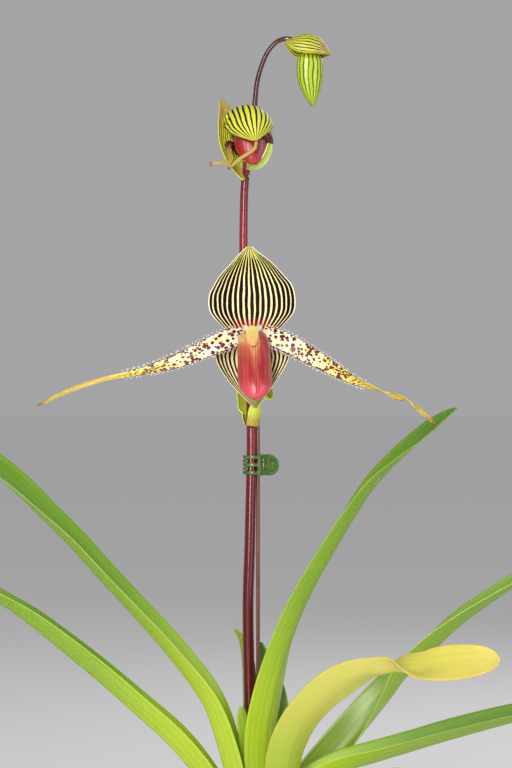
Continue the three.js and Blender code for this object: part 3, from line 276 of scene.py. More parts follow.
SECOND_LOWER_SEPAL: Stations = (
    (243, 163.5, 2.4, 3.2, 40, 30), (250, 166.3, -2.6, 3.6, 44, 34),
    (258.5, 164.8, -6, 3.8, 46, 36), (265.5, 158.6, -7, 3.6, 46, 36),
    (269.4, 149, -6.4, 3.2, 46, 34), (270.9, 139, -4.6, 2.2, 46, 30),
    (271.2, 131.5, -3, 0.9, 46, 26),
)
SECOND_PETAL_LEFT: Stations = (
    (243.8, 157, 1.4, 2.0, 76, 10), (236.5, 150, 0, 2.8, 60, 10), (230, 143.5, -4, 3.0, 50, 10),
    (227.8, 146.5, -9.5, 2.8, 50, 10), (228.4, 153, -13, 2.2, 60, 10),
    (231, 159.5, -15.4, 1.6, 70, 8), (226.5, 163.2, -16.8, 1.4, 80, 8),
    (218, 162.7, -17.2, 1.2, 84, 8), (209.8, 164.6, -17, 1.6, 84, 8),
)
SECOND_PETAL_RIGHT: Stations = (
    (250.4, 157.5, 1.4, 2.0, 76, 10), (262, 153, 1, 2.6, 66, 10), (269.4, 146, -4, 3.0, 54, 10),
    (269, 136.5, -10, 2.6, 54, 8), (262.5, 132.5, -15.5, 2.0, 66, 8),
    (256.6, 135.5, -18.8, 1.4, 80, 8), (256, 142, -20.4, 1.2, 84, 8),
    (254.8, 148, -20.4, 1.2, 84, 8), (249, 153, -19.6, 1.2, 84, 8), (239.5, 159, -18.6, 1.2, 84, 8),
    (228, 169.2, -17.4, 1.1, 84, 8),
)
SECOND_BRACT: Stations = (
    (246.5, 178.5, 3.4, 3.6, 60, 60), (241.5, 171.5, 3.2, 5.4, 64, 56),
    (234.0, 158.5, 5.0, 6.8, 70, 48), (229.4, 143, 5.8, 7.8, 74, 42),
    (227.8, 127, 7.4, 7.4, 76, 36), (225.8, 112, 8, 5.4, 76, 30), (220.8, 99, 8, 1.0, 76, 24),
)
TOP_BRACT: Stations = (
    (285.5, 41.5, 0, 4, 0, 70), (291, 44, 0, 12.5, 3, 96), (298, 45.5, 0, 20, 4, 108),
    (307, 46, 0, 22.5, 4, 112), (316, 48, 0, 20, 4, 108), (324, 51.5, 0, 12, 3, 96),
    (329, 53.4, 0, 4.6, 2, 80), (331.6, 53.6, 0, 1.0, 2, 70),
)
TOP_BUD: Stations = (
    (309, 50, 0, 3.2, 3.0), (309.1, 53.5, 0, 6.8, 5.8), (309.2, 60, 0, 8.9, 7.4),
    (309.3, 69, 0, 9.3, 7.6), (309.4, 78, 0, 8.9, 7.4), (310, 87, 0, 7.6, 6.4),
    (311, 96, 0, 5.0, 4.4), (312.2, 103, 0, 2.4, 2.2), (313, 107, 0, 0.6, 0.6),
)
CROWN_RINGS: Stations = (
    (106, 9, 8), (114, 18, 14), (124, 26, 18), (136, 30, 20), (148, 29, 18.5), (158, 25.5, 15.5),
    (165, 19, 12), (169, 10, 8),
)
ROOTS: Stations = (
    (20, 40, 70), (78, 34, 84), (140, 42, 66), (205, 38, 88), (262, 30, 74), (318, 41, 92),
)


def seen(column: float, row: float, depth: float) -> Vector:
    """Finds the point, in mm, that the picture shows at a column and row.

    Args:
        column: Pixel column from the left.
        row: Pixel row from the top.
        depth: Distance in mm behind the plane of the flower stem.

    Returns:
        The point in the shared frame.
    """
    scale = PIXEL * (1 + depth / VIEW_DISTANCE)
    x = VIEW_X + (column - VIEW_COLUMN) * scale
    return Vector((x, depth, VIEW_Z - (row - VIEW_ROW) * scale))


def between(stations: Stations, place: float) -> list[float]:
    """Reads the values part way between stations, on a smooth curve through all of them.

    Args:
        stations: The stations.
        place: A station's index, with a part of the way to the next one.

    Returns:
        One value for each column of the stations.
    """
    last = len(stations) - 1
    index = min(int(place), last - 1)
    t = place - index
    before = stations[max(index - 1, 0)]
    after = stations[min(index + 2, last)]
    values = []
    for i, (start, end) in enumerate(zip(stations[index], stations[index + 1])):
        slope_in = (end - before[i]) / 2
        slope_out = (after[i] - start) / 2
        climb = end - start
        square = 3 * climb - 2 * slope_in - slope_out
        cube = slope_in + slope_out - 2 * climb
        values.append(start + t * (slope_in + t * (square + t * cube)))
    return values


@dataclass(frozen=True)
class Row:
    """One cross-section of a blade or stem: its station values, its place and its heading."""

    values: list[float]
    point: Vector
    tangent: Vector


def even_rows(stations: Stations, steps: int) -> list[Row]:
    """Places cross-sections at even distances along a line of stations.

    Args:
        stations: The stations.
        steps: Number of steps between cross-sections.

    Returns:
        The cross-sections from the foot to the tip.
    """
    fine = FINE_STEPS * (len(stations) - 1)
    places = [i * (len(stations) - 1) / fine for i in range(fine + 1)]
    points = [seen(*between(stations, place)[:3]) for place in places]
    lengths = [0.0]
    for start, end in zip(points, points[1:]):
        lengths.append(lengths[-1] + (end - start).length)
    rows: list[tuple[list[float], Vector]] = []
    index = 0
    for i in range(steps + 1):
        wanted = lengths[-1] * i / steps
        while index < fine - 1 and lengths[index + 1] < wanted:
            index += 1
        part = (wanted - lengths[index]) / max(lengths[index + 1] - lengths[index], 1e-9)
        values = between(stations, places[index] + min(part, 1.0) * (places[1] - places[0]))
        rows.append((values, seen(*values[:3])))
    made = []
    for i, (values, point) in enumerate(rows):
        ahead = rows[min(i + 1, steps)][1]
        behind = rows[max(i - 1, 0)][1]
        made.append(Row(values, point, (ahead - behind).normalized()))
    return made


def linear(code: str) -> tuple[float, float, float, float]:
    """Turns an sRGB hex colour such as #c8e030 into a linear one with full alpha."""
    channels = [int(code[i:i + 2], 16) / 255 for i in (1, 3, 5)]
    red, green, blue = (c / 12.92 if c <= 0.04045 else ((c + 0.055) / 1.055) ** 2.4
                        for c in channels)
    return red, green, blue, 1.0


def add(tree: bpy.types.NodeTree, kind: str, inputs: dict | None = None,
        **settings: object) -> list:
    """Adds a node with its settings and links.

    Args:
        tree: The node tree.
        kind: The node's type without its ShaderNode prefix.
        inputs: What each input socket gets, a value or a socket to link, by index or name.
        settings: The node's own properties. stops sets a colour ramp's places and hex colours.

    Returns:
        The node's output sockets.
    """
    made = tree.nodes.new("ShaderNode" + kind)
    stops = settings.pop("stops", None)
    for name, value in settings.items():
        setattr(made, name, value)
    for i, (place, code) in enumerate(stops or ()):
        elements = made.color_ramp.elements
        element = elements[i] if i < 2 else elements.new(place)
        element.position = place
        element.color = linear(code)
    for key, value in (inputs or {}).items():
        if isinstance(value, bpy.types.NodeSocket):
            tree.links.new(value, made.inputs[key])
        else:
            made.inputs[key].default_value = value
    return made.outputs


def calc(tree: bpy.types.NodeTree, kind: str, *values: object) -> bpy.types.NodeSocket:
    """Adds a math node of a kind such as SUBTRACT over its values, and returns its result."""
    return add(tree, "Math", dict(enumerate(values)), operation=kind)[0]


def apart(tree: bpy.types.NodeTree, value: object, middle: float) -> bpy.types.NodeSocket:
    """Finds how far a value is from a middle, on either side."""
    return calc(tree, "ABSOLUTE", calc(tree, "SUBTRACT", value, middle))


def ramp(tree: bpy.types.NodeTree, value: object, low: float, high: float, start: float = 0.0,
         end: float = 1.0, smooth: bool = False) -> bpy.types.NodeSocket:
    """Maps a value that runs from low to high onto start to end, and holds it there outside.

    Args:
        tree: The node tree.
        value: The socket to map.
        low: The value that gives start.
        high: The value that gives end.
        start: What low becomes.
        end: What high becomes.
        smooth: Whether the way between them eases in and out.

    Returns:
        The result's socket.
    """
    kind = "SMOOTHSTEP" if smooth else "LINEAR"
    return add(tree, "MapRange", {0: value, 1: low, 2: high, 3: start, 4: end},
               interpolation_type=kind)[0]


def mix(tree: bpy.types.NodeTree, part: object, under: object, over: object,
        blend: str = "MIX") -> bpy.types.NodeSocket:
    """Lays one colour over another.

    Args:
        tree: The node tree.
        part: How much of the upper one shows, 0 to 1.
        under: The lower colour, a socket or sRGB hex.
        over: The upper colour, a socket or sRGB hex.
        blend: MIX, or MULTIPLY to darken.

    Returns:
        The colour's socket.
    """
    under, over = (linear(tone) if isinstance(tone, str) else tone for tone in (under, over))
    return add(tree, "Mix", {0: part, 6: under, 7: over}, data_type="RGBA", blend_type=blend)[2]


def clouds(tree: bpy.types.NodeTree, where: object, stretch: tuple[float, float, float],
           detail: float, scale: float = 1.0) -> bpy.types.NodeSocket:
    """Adds cloudy noise over a place that is stretched first, and returns its value."""
    place = add(tree, "Mapping", {0: where, 3: stretch})[0]
    return add(tree, "TexNoise", {"Vector": place, "Scale": scale, "Detail": detail})[0]


@dataclass(frozen=True)
class Finish:
    """A surface: its name and the constants of its shader."""

    name: str
    roughness: float = 0.45
    ior: float = 1.45
    metallic: float = 0.0
    coat: float = 0.0
    coat_roughness: float = 0.25
    subsurface: float = 0.0
    sheen: float = 0.0
    relief: float = 0.0

    def material(self) -> bpy.types.Material:
        """Makes the material once and returns it, also when it is asked for again."""
        known = bpy.data.materials.get(self.name)
        if known:
            return known
        made = bpy.data.materials.new(self.name)
        made.use_nodes = True
        tree = made.node_tree
        shader = next(node for node in tree.nodes if node.type == "BSDF_PRINCIPLED")
        for key, value in (("Roughness", self.roughness), ("IOR", self.ior),
                           ("Metallic", self.metallic), ("Coat Weight", self.coat),
                           ("Coat Roughness", self.coat_roughness),
                           ("Subsurface Weight", self.subsurface),
                           ("Subsurface Scale", LIGHT_DEPTH * MM), ("Sheen Weight", self.sheen)):
            shader.inputs[key].default_value = value
        colour, height = self.paint(tree)
        tree.links.new(colour, shader.inputs["Base Color"])
        if height is not None:
            relief = {"Height": height, "Distance": self.relief * MM, "Strength": 1.0}
            tree.links.new(add(tree, "Bump", relief)[0], shader.inputs["Normal"])
        made.diffuse_color = linear("#909070")
        return made

    def paint(self, tree: bpy.types.NodeTree) -> Pattern:
        """Adds the pattern.

        Args:
            tree: The material's node tree.

        Returns:
            The colour socket, and the height socket or None.
        """
        raise NotImplementedError


@dataclass(frozen=True)
class LeafFinish(Finish):
    """Strap leaf: waxy cuticle over fine parallel veins, with pale margins and a toned keel."""

    foot: str = "#c6dc34"
    middle: str = "#82b022"
    tip: str = "#76a824"
    margin: str = "#d4ec70"
    deep: str = "#4f8414"
    keel: str = "#5c8c1c"
    veins: int = 34
    streaks: float = 0.4
    foot_end: float = 0.26
    middle_at: float = 0.5
    relief: float = 0.14

    def paint(self, tree: bpy.types.NodeTree) -> Pattern:
        """Adds the gradient along, streaks, veins 1 mm apart and margins; see Finish.paint."""
        uv = add(tree, "UVMap")[0]
        spot = add(tree, "SeparateXYZ", {0: uv})
        stops = ((0.0, self.foot), (self.foot_end, self.foot), (self.middle_at, self.middle),
                 (1.0, self.tip))
        base = add(tree, "ValToRGB", {0: spot[1]}, stops=stops)[0]
        cloud = clouds(tree, uv, (17.0, 1.6, 1.0), 4.0)
        dark = ramp(tree, cloud, 0.48, 0.72, 0.0, self.streaks)
        base = mix(tree, dark, base, self.deep)
        pale = ramp(tree, cloud, 0.46, 0.28, 0.0, self.streaks)
        base = mix(tree, pale, base, self.margin)
        strands = calc(tree, "MULTIPLY", spot[0], float(self.veins))
        vein = calc(tree, "PINGPONG", strands, 0.5)
        fine = ramp(tree, vein, 0.0, 0.5, 0.86, 1.08)
        base = mix(tree, 1.0, base, fine, "MULTIPLY")
        side = apart(tree, spot[0], 0.5)
        keel = ramp(tree, side, 0.0, 0.022, 0.4, 0.0, smooth=True)
        base = mix(tree, keel, base, self.keel)
        edge = ramp(tree, side, 0.475, 0.497, 0.0, 0.5)
        colour = mix(tree, edge, base, self.margin)
        height = calc(tree, "SUBTRACT", vein, keel)
        return colour, height


@dataclass(frozen=True)
class StripedFinish(Finish):
    """Sepal or bract tissue: satin, with dark stripes along its veins and light lines between."""

    stripes: int = 17
    share: float = 0.7
    dark: str = "#26060a"
    dark_foot: str = "#a01420"
    foot: str = "#f0a088"
    middle: str = "#fff0b4"
    tip: str = "#eeee68"
    margin: str = "#fff6d8"
    early: float = 0.62
    late: float = 1.06
    flush: float = 0.2
    sway: float = 0.1
    seam: float = 0.484
    relief: float = 0.2

    def paint(self, tree: bpy.types.NodeTree) -> Pattern:
        """Adds the stripes, of which every other one ends early; see Finish.paint."""
        uv = add(tree, "UVMap")[0]
        spot = add(tree, "SeparateXYZ", {0: uv})
        drift = clouds(tree, uv, (9.0, 5.0, 1.0), 3.0)
        shift = ramp(tree, drift, 0.25, 0.75, -self.sway, self.sway)
        count = calc(tree, "MULTIPLY_ADD", spot[0], float(self.stripes), shift)
        index = calc(tree, "FLOOR", count)
        luck = add(tree, "TexWhiteNoise", {"W": index}, noise_dimensions="1D")
        odd = calc(tree, "FLOORED_MODULO", index, 2.0)
        short = ramp(tree, luck[0], 0.0, 1.0, self.early, self.late - 0.1)
        end = add(tree, "Mix", {0: odd, 2: self.late, 3: short})[0]
        left = calc(tree, "SUBTRACT", end, spot[1])
        fade = ramp(tree, left, 0.0, 0.12, 0.0, self.share / 2, smooth=True)
        uneven = add(tree, "SeparateColor", {0: luck[1]})[1]
        uneven = ramp(tree, uneven, 0.0, 1.0, 0.84, 1.14)
        fade = calc(tree, "MULTIPLY", fade, uneven)
        inside = calc(tree, "PINGPONG", count, 0.5)
        reach = calc(tree, "SUBTRACT", 0.5, fade)
        over = calc(tree, "SUBTRACT", inside, reach)
        stripe = ramp(tree, over, -0.025, 0.035)
        side = apart(tree, spot[0], 0.5)
        rim = ramp(tree, side, self.seam, self.seam + 0.006)
        bare = calc(tree, "SUBTRACT", 1.0, rim)
        stripe = calc(tree, "MULTIPLY", stripe, bare)
        light = add(tree, "ValToRGB", {0: spot[1]},
                    stops=((0.0, self.middle), (0.55, self.middle), (0.8, self.tip)))[0]
        low = ramp(tree, spot[1], self.flush * 0.4, self.flush, 1.0, 0.0)
        inner = ramp(tree, side, 0.1, 0.34, 1.0, 0.0)
        low = calc(tree, "MULTIPLY", low, inner)
        light = mix(tree, low, light, self.foot)
        light = mix(tree, rim, light, self.margin)
        dark = mix(tree, low, self.dark, self.dark_foot)
        colour = mix(tree, stripe, light, dark)
        return colour, inside


@dataclass(frozen=True)
class PetalFinish(Finish):
    """Petal tissue: cream with maroon spots, then olive with brown lines, then a red tip."""

    width: float = 13.0
    length: float = 185.0
    foot: str = "#f6ecd8"
    middle: str = "#ecd870"
    outer: str = "#c8b43c"
    tip: str = "#7a3018"
    spot_colour: str = "#600610"
    line_colour: str = "#7a2c18"
    spotted: float = 0.8
    spacing: float = 2.3
    lanes: float = 3.0
    foot_end: float = 0.25
    middle_at: float = 0.46
    warmth: float = 0.6
    relief: float = 0.3

    def paint(self, tree: bpy.types.NodeTree) -> Pattern:
        """Adds spots at their spacing in mm, brown lines and the tip; see Finish.paint."""
        uv = add(tree, "UVMap")[0]
        spot = add(tree, "SeparateXYZ", {0: uv})
        mm = add(tree, "Mapping", {0: uv, 3: (self.width, self.length * 0.72, 1.0)})[0]
        stops = ((0.0, self.foot), (self.foot_end, self.foot), (self.middle_at, self.middle),
                 (0.66, self.outer), (0.93, self.outer), (1.0, self.tip))
        base = add(tree, "ValToRGB", {0: spot[1]}, stops=stops)[0]
        cloud = add(tree, "TexNoise", {"Vector": mm, "Scale": 0.16, "Detail": 2.0})[0]
        warm = ramp(tree, cloud, 0.46, 0.62, 0.0, self.warmth)
        base = mix(tree, warm, base, "#ecd65c")
        cells = add(tree, "TexVoronoi", {"Vector": mm, "Scale": 1 / self.spacing,
                                         "Randomness": 0.8})
        size = add(tree, "SeparateColor", {0: cells[1]})[0]
        size = ramp(tree, size, 0.0, 1.0, 0.3, 0.62)
        fade = ramp(tree, spot[1], self.spotted - 0.3, self.spotted, 1.0, 0.0)
        size = calc(tree, "MULTIPLY", size, fade)
        over = calc(tree, "SUBTRACT", size, cells[0])
        dots = ramp(tree, over, -0.04, 0.04)
        count = calc(tree, "MULTIPLY", spot[0], self.lanes)
        lane = calc(tree, "PINGPONG", count, 0.5)
        line = ramp(tree, lane, 0.26, 0.4, 0.0, 0.85)
        late = ramp(tree, spot[1], self.spotted - 0.24, self.spotted - 0.04)
        line = calc(tree, "MULTIPLY", line, late)
        colour = mix(tree, line, base, self.line_colour)
        colour = mix(tree, dots, colour, self.spot_colour)
        return colour, dots


@dataclass(frozen=True)
class PouchFinish(Finish):
    """Pouch tissue: waxy and taut, flushed red over peach, with darker veins down it."""

    toe: str = "#dc4460"
    low: str = "#b42c3c"
    high: str = "#a42428"
    shoulder: str = "#bc5c3c"
    rim: str = "#e4b474"
    inner: str = "#e8cc84"
    vein: str = "#7c1018"
    streak: str = "#cc6c54"
    # Painted shade on the right front flank above the toe; on the opening pouch a painted mauve
    # sheen.
    flank_shade_sheen: str = "#98202c"
    wedge: float = 0.06
    veins: int = 34
    relief: float = 0.15

    def paint(self, tree: bpy.types.NodeTree) -> Pattern:
        """Adds the flush from toe to rim and veins about 2 mm apart; see Finish.paint."""
        uv = add(tree, "UVMap")[0]
        spot = add(tree, "SeparateXYZ", {0: uv})
        stops = ((0.0, self.toe), (0.12, self.toe), (0.18, self.low), (0.27, self.high),
                 (0.33, self.shoulder), (0.38, self.rim), (0.5, self.rim), (0.6, self.inner))
        front = apart(tree, spot[0], 0.75)
        wedge = ramp(tree, front, 0.0, 0.07, self.wedge, 0.0, smooth=True)
        up = calc(tree, "ADD", spot[1], wedge)
        base = add(tree, "ValToRGB", {0: up}, stops=stops)[0]
        # Paints the right front flank above the toe in the flank colour, as painted shade and
        # sheen.
        right = ramp(tree, spot[0], 0.8, 0.84)
        outside = ramp(tree, spot[1], 0.14, 0.2)
        right = calc(tree, "MULTIPLY", right, outside)
        base = mix(tree, right, base, self.flank_shade_sheen)
        drift = clouds(tree, uv, (26.0, 7.0, 1.0), 3.0)
        count = calc(tree, "MULTIPLY_ADD", spot[0], float(self.veins), drift)
        inside = calc(tree, "PINGPONG", count, 0.5)
        shown = ramp(tree, spot[1], 0.34, 0.46, 0.6, 0.3)
        vein = ramp(tree, inside, 0.28, 0.5)
        vein = calc(tree, "MULTIPLY", vein, shown)
        streak = ramp(tree, drift, 0.42, 0.66, 0.0, 0.55)
        colour = mix(tree, streak, base, self.streak)
        colour = mix(tree, vein, colour, self.vein)
        return colour, inside


@dataclass(frozen=True)
class StemFinish(Finish):
    """Flower stem: wine-red epidermis under wax, with small darker and lighter specks."""

    foot: str = "#54020c"
    middle: str = "#5c0610"
    upper: str = "#881a20"
    top: str = "#3c100c"
    speck: str = "#781824"
    relief: float = 0.05

    def paint(self, tree: bpy.types.NodeTree) -> Pattern:
        """Adds the gradient up the stem and specks about 1 mm apart; see Finish.paint."""
        spot = add(tree, "SeparateXYZ", {0: add(tree, "UVMap")[0]})
        where = add(tree, "TexCoord")[3]
        stops = ((0.0, self.foot), (0.42, self.middle), (0.56, self.upper), (0.72, self.upper),
                 (0.82, self.top))
        base = add(tree, "ValToRGB", {0: spot[1]}, stops=stops)[0]
        grain = clouds(tree, where, (1.0, 1.0, 0.35), 2.0, 1100.0)
        fleck = ramp(tree, grain, 0.52, 0.7, 0.0, 0.4)
        colour = mix(tree, fleck, base, self.speck)
        return colour, grain


@dataclass(frozen=True)
class MottledFinish(Finish):
    """A surface of two tones that run into each other, with a grain of its own size."""

    tone: str = "#b86848"
    second: str = "#a05438"
    spacing: float = 12.0
    grain: float = 1.0
    relief: float = 0.1
    stretch: tuple[float, float, float] = (1.0, 1.0, 1.0)

    def paint(self, tree: bpy.types.NodeTree) -> Pattern:
        """Adds clouds of the given spacing and a finer grain, both in mm; see Finish.paint."""
        where = add(tree, "Mapping", {0: add(tree, "TexCoord")[3], 3: self.stretch})[0]
        cloud = add(tree, "TexNoise", {"Vector": where, "Scale": 1000 / self.spacing,
                                       "Detail": 5.0})[0]
        mask = ramp(tree, cloud, 0.35, 0.65)
        grit = add(tree, "TexNoise", {"Vector": where, "Scale": 1000 / self.grain,
                                      "Detail": 2.0})[0]
        shade = ramp(tree, grit, 0.3, 0.7, 0.86, 1.08)
        mixed = mix(tree, mask, self.tone, self.second)
        colour = mix(tree, 1.0, mixed, shade, "MULTIPLY")
        return colour, grit


@dataclass(frozen=True)
class PlainFinish(Finish):
    """A surface of one even colour."""

    tone: str = "#e0e0e0"

    def paint(self, tree: bpy.types.NodeTree) -> Pattern:
        """Adds the colour alone; see Finish.paint."""
        return mix(tree, 0.0, self.tone, self.tone), None


class Side(Enum):
    """Which side of a growing leaf or petal its upper face lies on, seen from the front."""

    RIGHT = 1
    LEFT = -1


class Section(Enum):
    """How a blade is bent across: a soft V, an arc, or an arc level with the ground."""

    FOLDED = "folded"
    ROLLED = "rolled"
    CROSSWISE = "crosswise"


def turned(part: float) -> float:
    """Turns a part of the way round into an angle in radians, the last one into the first."""
    return 2 * math.pi * (part % 1.0)


def away_from(centre: Vector, side: Vector, other: Vector, radius: float, angle: float) -> Vector:
    """Finds the point at a radius and an angle round a centre, in the plane of two directions."""
    return centre + side * radius * math.cos(angle) + other * radius * math.sin(angle)


def section_point(place: float, half_width: float, fold: float, section: Section,
                  softness: float) -> tuple[float, float]:
    """Finds a place on a blade's cross-section.

    Args:
        place: From one margin (-1) over the keel (0) to the other margin (1).
        half_width: Half the blade's width round its bend, in mm.
        fold: Turn of each half at its margin, in radians.
        section: The kind of bend.
        softness: How round the keel of a V is.

    Returns:
        How far across and how far up the place is, in mm.
    """
    if section is Section.FOLDED:
        whole = math.hypot(1, softness) - softness
        climb = (math.hypot(place, softness) - softness) / whole
        return half_width * place * math.cos(fold), half_width * climb * math.sin(fold)
    radius = half_width / fold
    return radius * math.sin(fold * place), radius * (1 - math.cos(fold * place))


def grid_mesh(across: int, along: int, place: Place) -> bmesh.types.BMesh:
    """Makes a grid with a UV map and moves each vertex to its place.

    Args:
        across: Number of faces across.
        along: Number of faces along.
        place: Gives the point in mm for a part across and a part along, each 0 to 1.

    Returns:
        The mesh, in mm.
    """
    bm = bmesh.new()
    bm.loops.layers.uv.new("UVMap")
    bmesh.ops.create_grid(bm, x_segments=across, y_segments=along, size=0.5, calc_uvs=True)
    for vertex in bm.verts:
        vertex.co = place(vertex.co.x + 0.5, vertex.co.y + 0.5)
    return bm


def closed_mesh(around: int, along: int, place: Place) -> bmesh.types.BMesh:
    """Makes a closed body of rings from one pole to the other, its seam and poles merged.

    Args:
        around: Number of faces round each ring.
        along: Number of rings.
        place: Gives the point in mm for a part around and a part along, each 0 to 1.

    Returns:
        The mesh, in mm, its faces outward.
    """
    bm = grid_mesh(around, along, place)
    bmesh.ops.remove_doubles(bm, verts=bm.verts, dist=MERGE)
    bmesh.ops.recalc_face_normals(bm, faces=bm.faces)
    return bm


def place_object(name: str, data: bpy.types.ID) -> bpy.types.Object:
    """Puts a mesh, lamp or camera into the scene and returns its object."""
    made = bpy.data.objects.new(name, data)
    bpy.context.scene.collection.objects.link(made)
    return made


def settle(bm: bmesh.types.BMesh, name: str) -> bpy.types.Mesh:
    """Writes a mesh into the file and frees what it was built in."""
    mesh = bpy.data.meshes.new(name)
    bm.to_mesh(mesh)
    bm.free()
    return mesh


def turned_mesh(bm: bmesh.types.BMesh, corners: list, edges: list, middle: tuple,
                steps: int) -> None:
    """Spins an outline once round an upright axis and closes it, its faces outward.

    Args:
        bm: The mesh that holds the outline.
        corners: The outline's vertices.
        edges: Its edges.
        middle: A point of the axis, in mm.
        steps: Number of faces round.
    """
    bmesh.ops.spin(bm, geom=corners + edges, cent=middle, axis=(0, 0, 1), angle=2 * math.pi,
                   steps=steps, use_merge=True)
    bmesh.ops.remove_doubles(bm, verts=bm.verts, dist=TURN_MERGE)
    bmesh.ops.recalc_face_normals(bm, faces=bm.faces)


def make_piece(bm: bmesh.types.BMesh, name: str, finishes: Sequence[Finish],
               stands_for: Sequence[str] = (), body: str = PLANT) -> bpy.types.Object:
    """Turns a mesh in mm into a smooth piece of the scene that rides on a body.

    Args:
        bm: The mesh, which is freed.
        name: The piece's name.
        finishes: Its finishes, by material index.
        stands_for: CAD nodes that the piece replaces.
        body: The body it rides on.

    Returns:
        The new object.
    """
    bmesh.ops.scale(bm, vec=(MM, MM, MM), verts=bm.verts)
    for face in bm.faces:
        face.smooth = True
    mesh = settle(bm, name)
    made = place_object(name, mesh)
    for finish in finishes:
        mesh.materials.append(finish.material())
    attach(made, body)
    if stands_for:
        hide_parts(*stands_for)
    LOG.info("%s: %d faces", name, len(mesh.polygons))
    return made


def thicken(piece: bpy.types.Object, thickness: float) -> None:
    """Gives a sheet its thickness in mm, its under face the second finish, and a round margin."""
    solid = piece.modifiers.new("thickness", "SOLIDIFY")
    solid.thickness = thickness * MM
    solid.offset = 0.0
    solid.material_offset = 1 if len(piece.data.materials) > 1 else 0
    round_off(piece)


def round_off(piece: bpy.types.Object) -> None:
    """Subdivides a piece once, alike in the view and in renders."""
    smooth = piece.modifiers.new("round", "SUBSURF")
    smooth.levels = smooth.render_levels = 1


@dataclass
class Hairs:
    """Fine hairs, each a thin cone with three sides, gathered into one piece."""

    name: str
    finish: Finish
    slot: str
    length: float
    radius: float
    body: str = PLANT
    bm: bmesh.types.BMesh = field(init=False)

    def __post_init__(self) -> None:
        """Starts the mesh."""
        self.bm = bmesh.new()

    def grow(self, root: Vector, way: Vector, spread: float) -> None:
        """Grows one hair.

        Args:
            root: Where it stands, in mm.
            way: Where it points, more or less.
            spread: How far it may lean off that way.
        """
        lean = Vector([random.gauss(0, spread) for _ in range(3)])
        heading = (way.normalized() + lean).normalized()
        length = self.length * random.uniform(*HAIR_LENGTHS)
        turn = heading.to_track_quat("Z", "Y").to_matrix().to_4x4()
        place = Matrix.Translation(root + heading * length * HAIR_MIDDLE) @ turn
        bmesh.ops.create_cone(self.bm, cap_ends=True, segments=3, radius1=self.radius, radius2=0.0,
                              depth=length, matrix=place)

    def build(self) -> None:
        """Turns the hairs into a piece."""
        make_piece(self.bm, self.name, (self.finish,), body=self.body)


@dataclass
class Blade:
    """A leaf, sepal, petal or bract that follows stations, as its CAD solid does."""

    node: str
    stations: Stations
    finishes: tuple[Finish, ...]
    slot: str
    steps: int
    cells: int = 12
    thickness: float = LEAF_THICKNESS
    side: Side = Side.RIGHT
    section: Section = Section.FOLDED
    centred: bool = True
    softness: float = 0.3
    ripple: float = 0.0
    waves: float = 3.0
    rows: list[Row] = field(init=False)

    def __post_init__(self) -> None:
        """Places the cross-sections."""
        self.rows = even_rows(self.stations, self.steps)

    def axes(self, row: Row) -> tuple[Vector, Vector, Vector]:
        """Finds the directions of a cross-section.

        Args:
            row: The cross-section.

        Returns:
            Across the blade, out of its upper face, and up in the picture.
        """
        if self.section is Section.CROSSWISE:
            across = Vector((1, 0, 0))
            across = (across - row.tangent * across.dot(row.tangent)).normalized()
            return across, across.cross(row.tangent), Vector()
        away = Vector((0, 1, 0))
        away = (away - row.tangent * away.dot(row.tangent)).normalized()
        upper = away.cross(row.tangent) * self.side.value
        turn = math.radians(row.values[4])
        across = away * math.cos(turn) + upper * math.sin(turn)
        out = upper * math.cos(turn) - away * math.sin(turn)
        return across, out, upper

    def fold(self, row: Row) -> float:
        """Reads how far each half is folded up, in radians."""
        return math.radians(row.values[4 if self.section is Section.CROSSWISE else 5])

    def point(self, part_across: float, part_along: float) -> Vector:
        """Finds a point of the blade's middle surface, in mm, from its parts across and along."""
        row = self.rows[round(part_along * self.steps)]
        across, out, upper = self.axes(row)
        fold = self.fold(row)
        half_width = row.values[3]
        place = 2 * part_across - 1
        sideways, climb = section_point(place, half_width, fold, self.section, self.softness)
        wave = math.sin(2 * math.pi * self.waves * part_along + RIPPLE_LAG * place)
        calm = min(1.0, RIPPLE_ENDS * part_along, RIPPLE_ENDS - RIPPLE_ENDS * part_along)
        climb += self.ripple * wave * place * place * calm
        made = row.point + across * sideways + out * climb
        if self.centred and self.section is not Section.CROSSWISE:
            turn = math.radians(row.values[4])
            seen_at = []
            for i in range(SAMPLES_ACROSS + 1):
                wide, high = section_point(2 * i / SAMPLES_ACROSS - 1, half_width, fold,
                                           self.section, self.softness)
                seen_at.append(wide * math.sin(turn) + high * math.cos(turn))
            made -= upper * (max(seen_at) + min(seen_at)) / 2
        return made

    def outward(self, part_across: float, part_along: float) -> Vector:
        """Finds the direction out of the upper face at a place."""
        step = 1 / self.steps
        low = min(max(part_along, step), 1 - step)
        left = self.point(max(part_across - NEARBY, 0.0), low)
        right = self.point(min(part_across + NEARBY, 1.0), low)
        along = self.point(part_across, low + step) - self.point(part_across, low - step)
        normal = (right - left).cross(along).normalized()
        row = self.rows[round(low * self.steps)]
        return normal if normal.dot(self.axes(row)[1]) > 0 else -normal

    def margin(self, end: int, part_along: float) -> tuple[Vector, Vector]:
        """Finds a margin's place in mm, end 0 or 1 across, and the way out from the blade there."""
        place = self.point(float(end), part_along)
        inside = self.point(1 - MARGIN_BACK if end else MARGIN_BACK, part_along)
        return place, (place - inside).normalized()

    def build(self) -> None:
        """Builds the blade with its upper face outward, then gives it its thickness."""
        bm = grid_mesh(self.cells, self.steps, self.point)
        middle = self.rows[self.steps // 2]
        bm.faces.ensure_lookup_table()
        face = bm.faces[self.cells * (self.steps // 2) + self.cells // 2]
        bm.normal_update()
        if face.normal.dot(self.axes(middle)[1]) < 0:
            bmesh.ops.reverse_faces(bm, faces=bm.faces)
        piece = make_piece(bm, self.node + "_blade", self.finishes, (self.node,))
        thicken(piece, self.thickness)


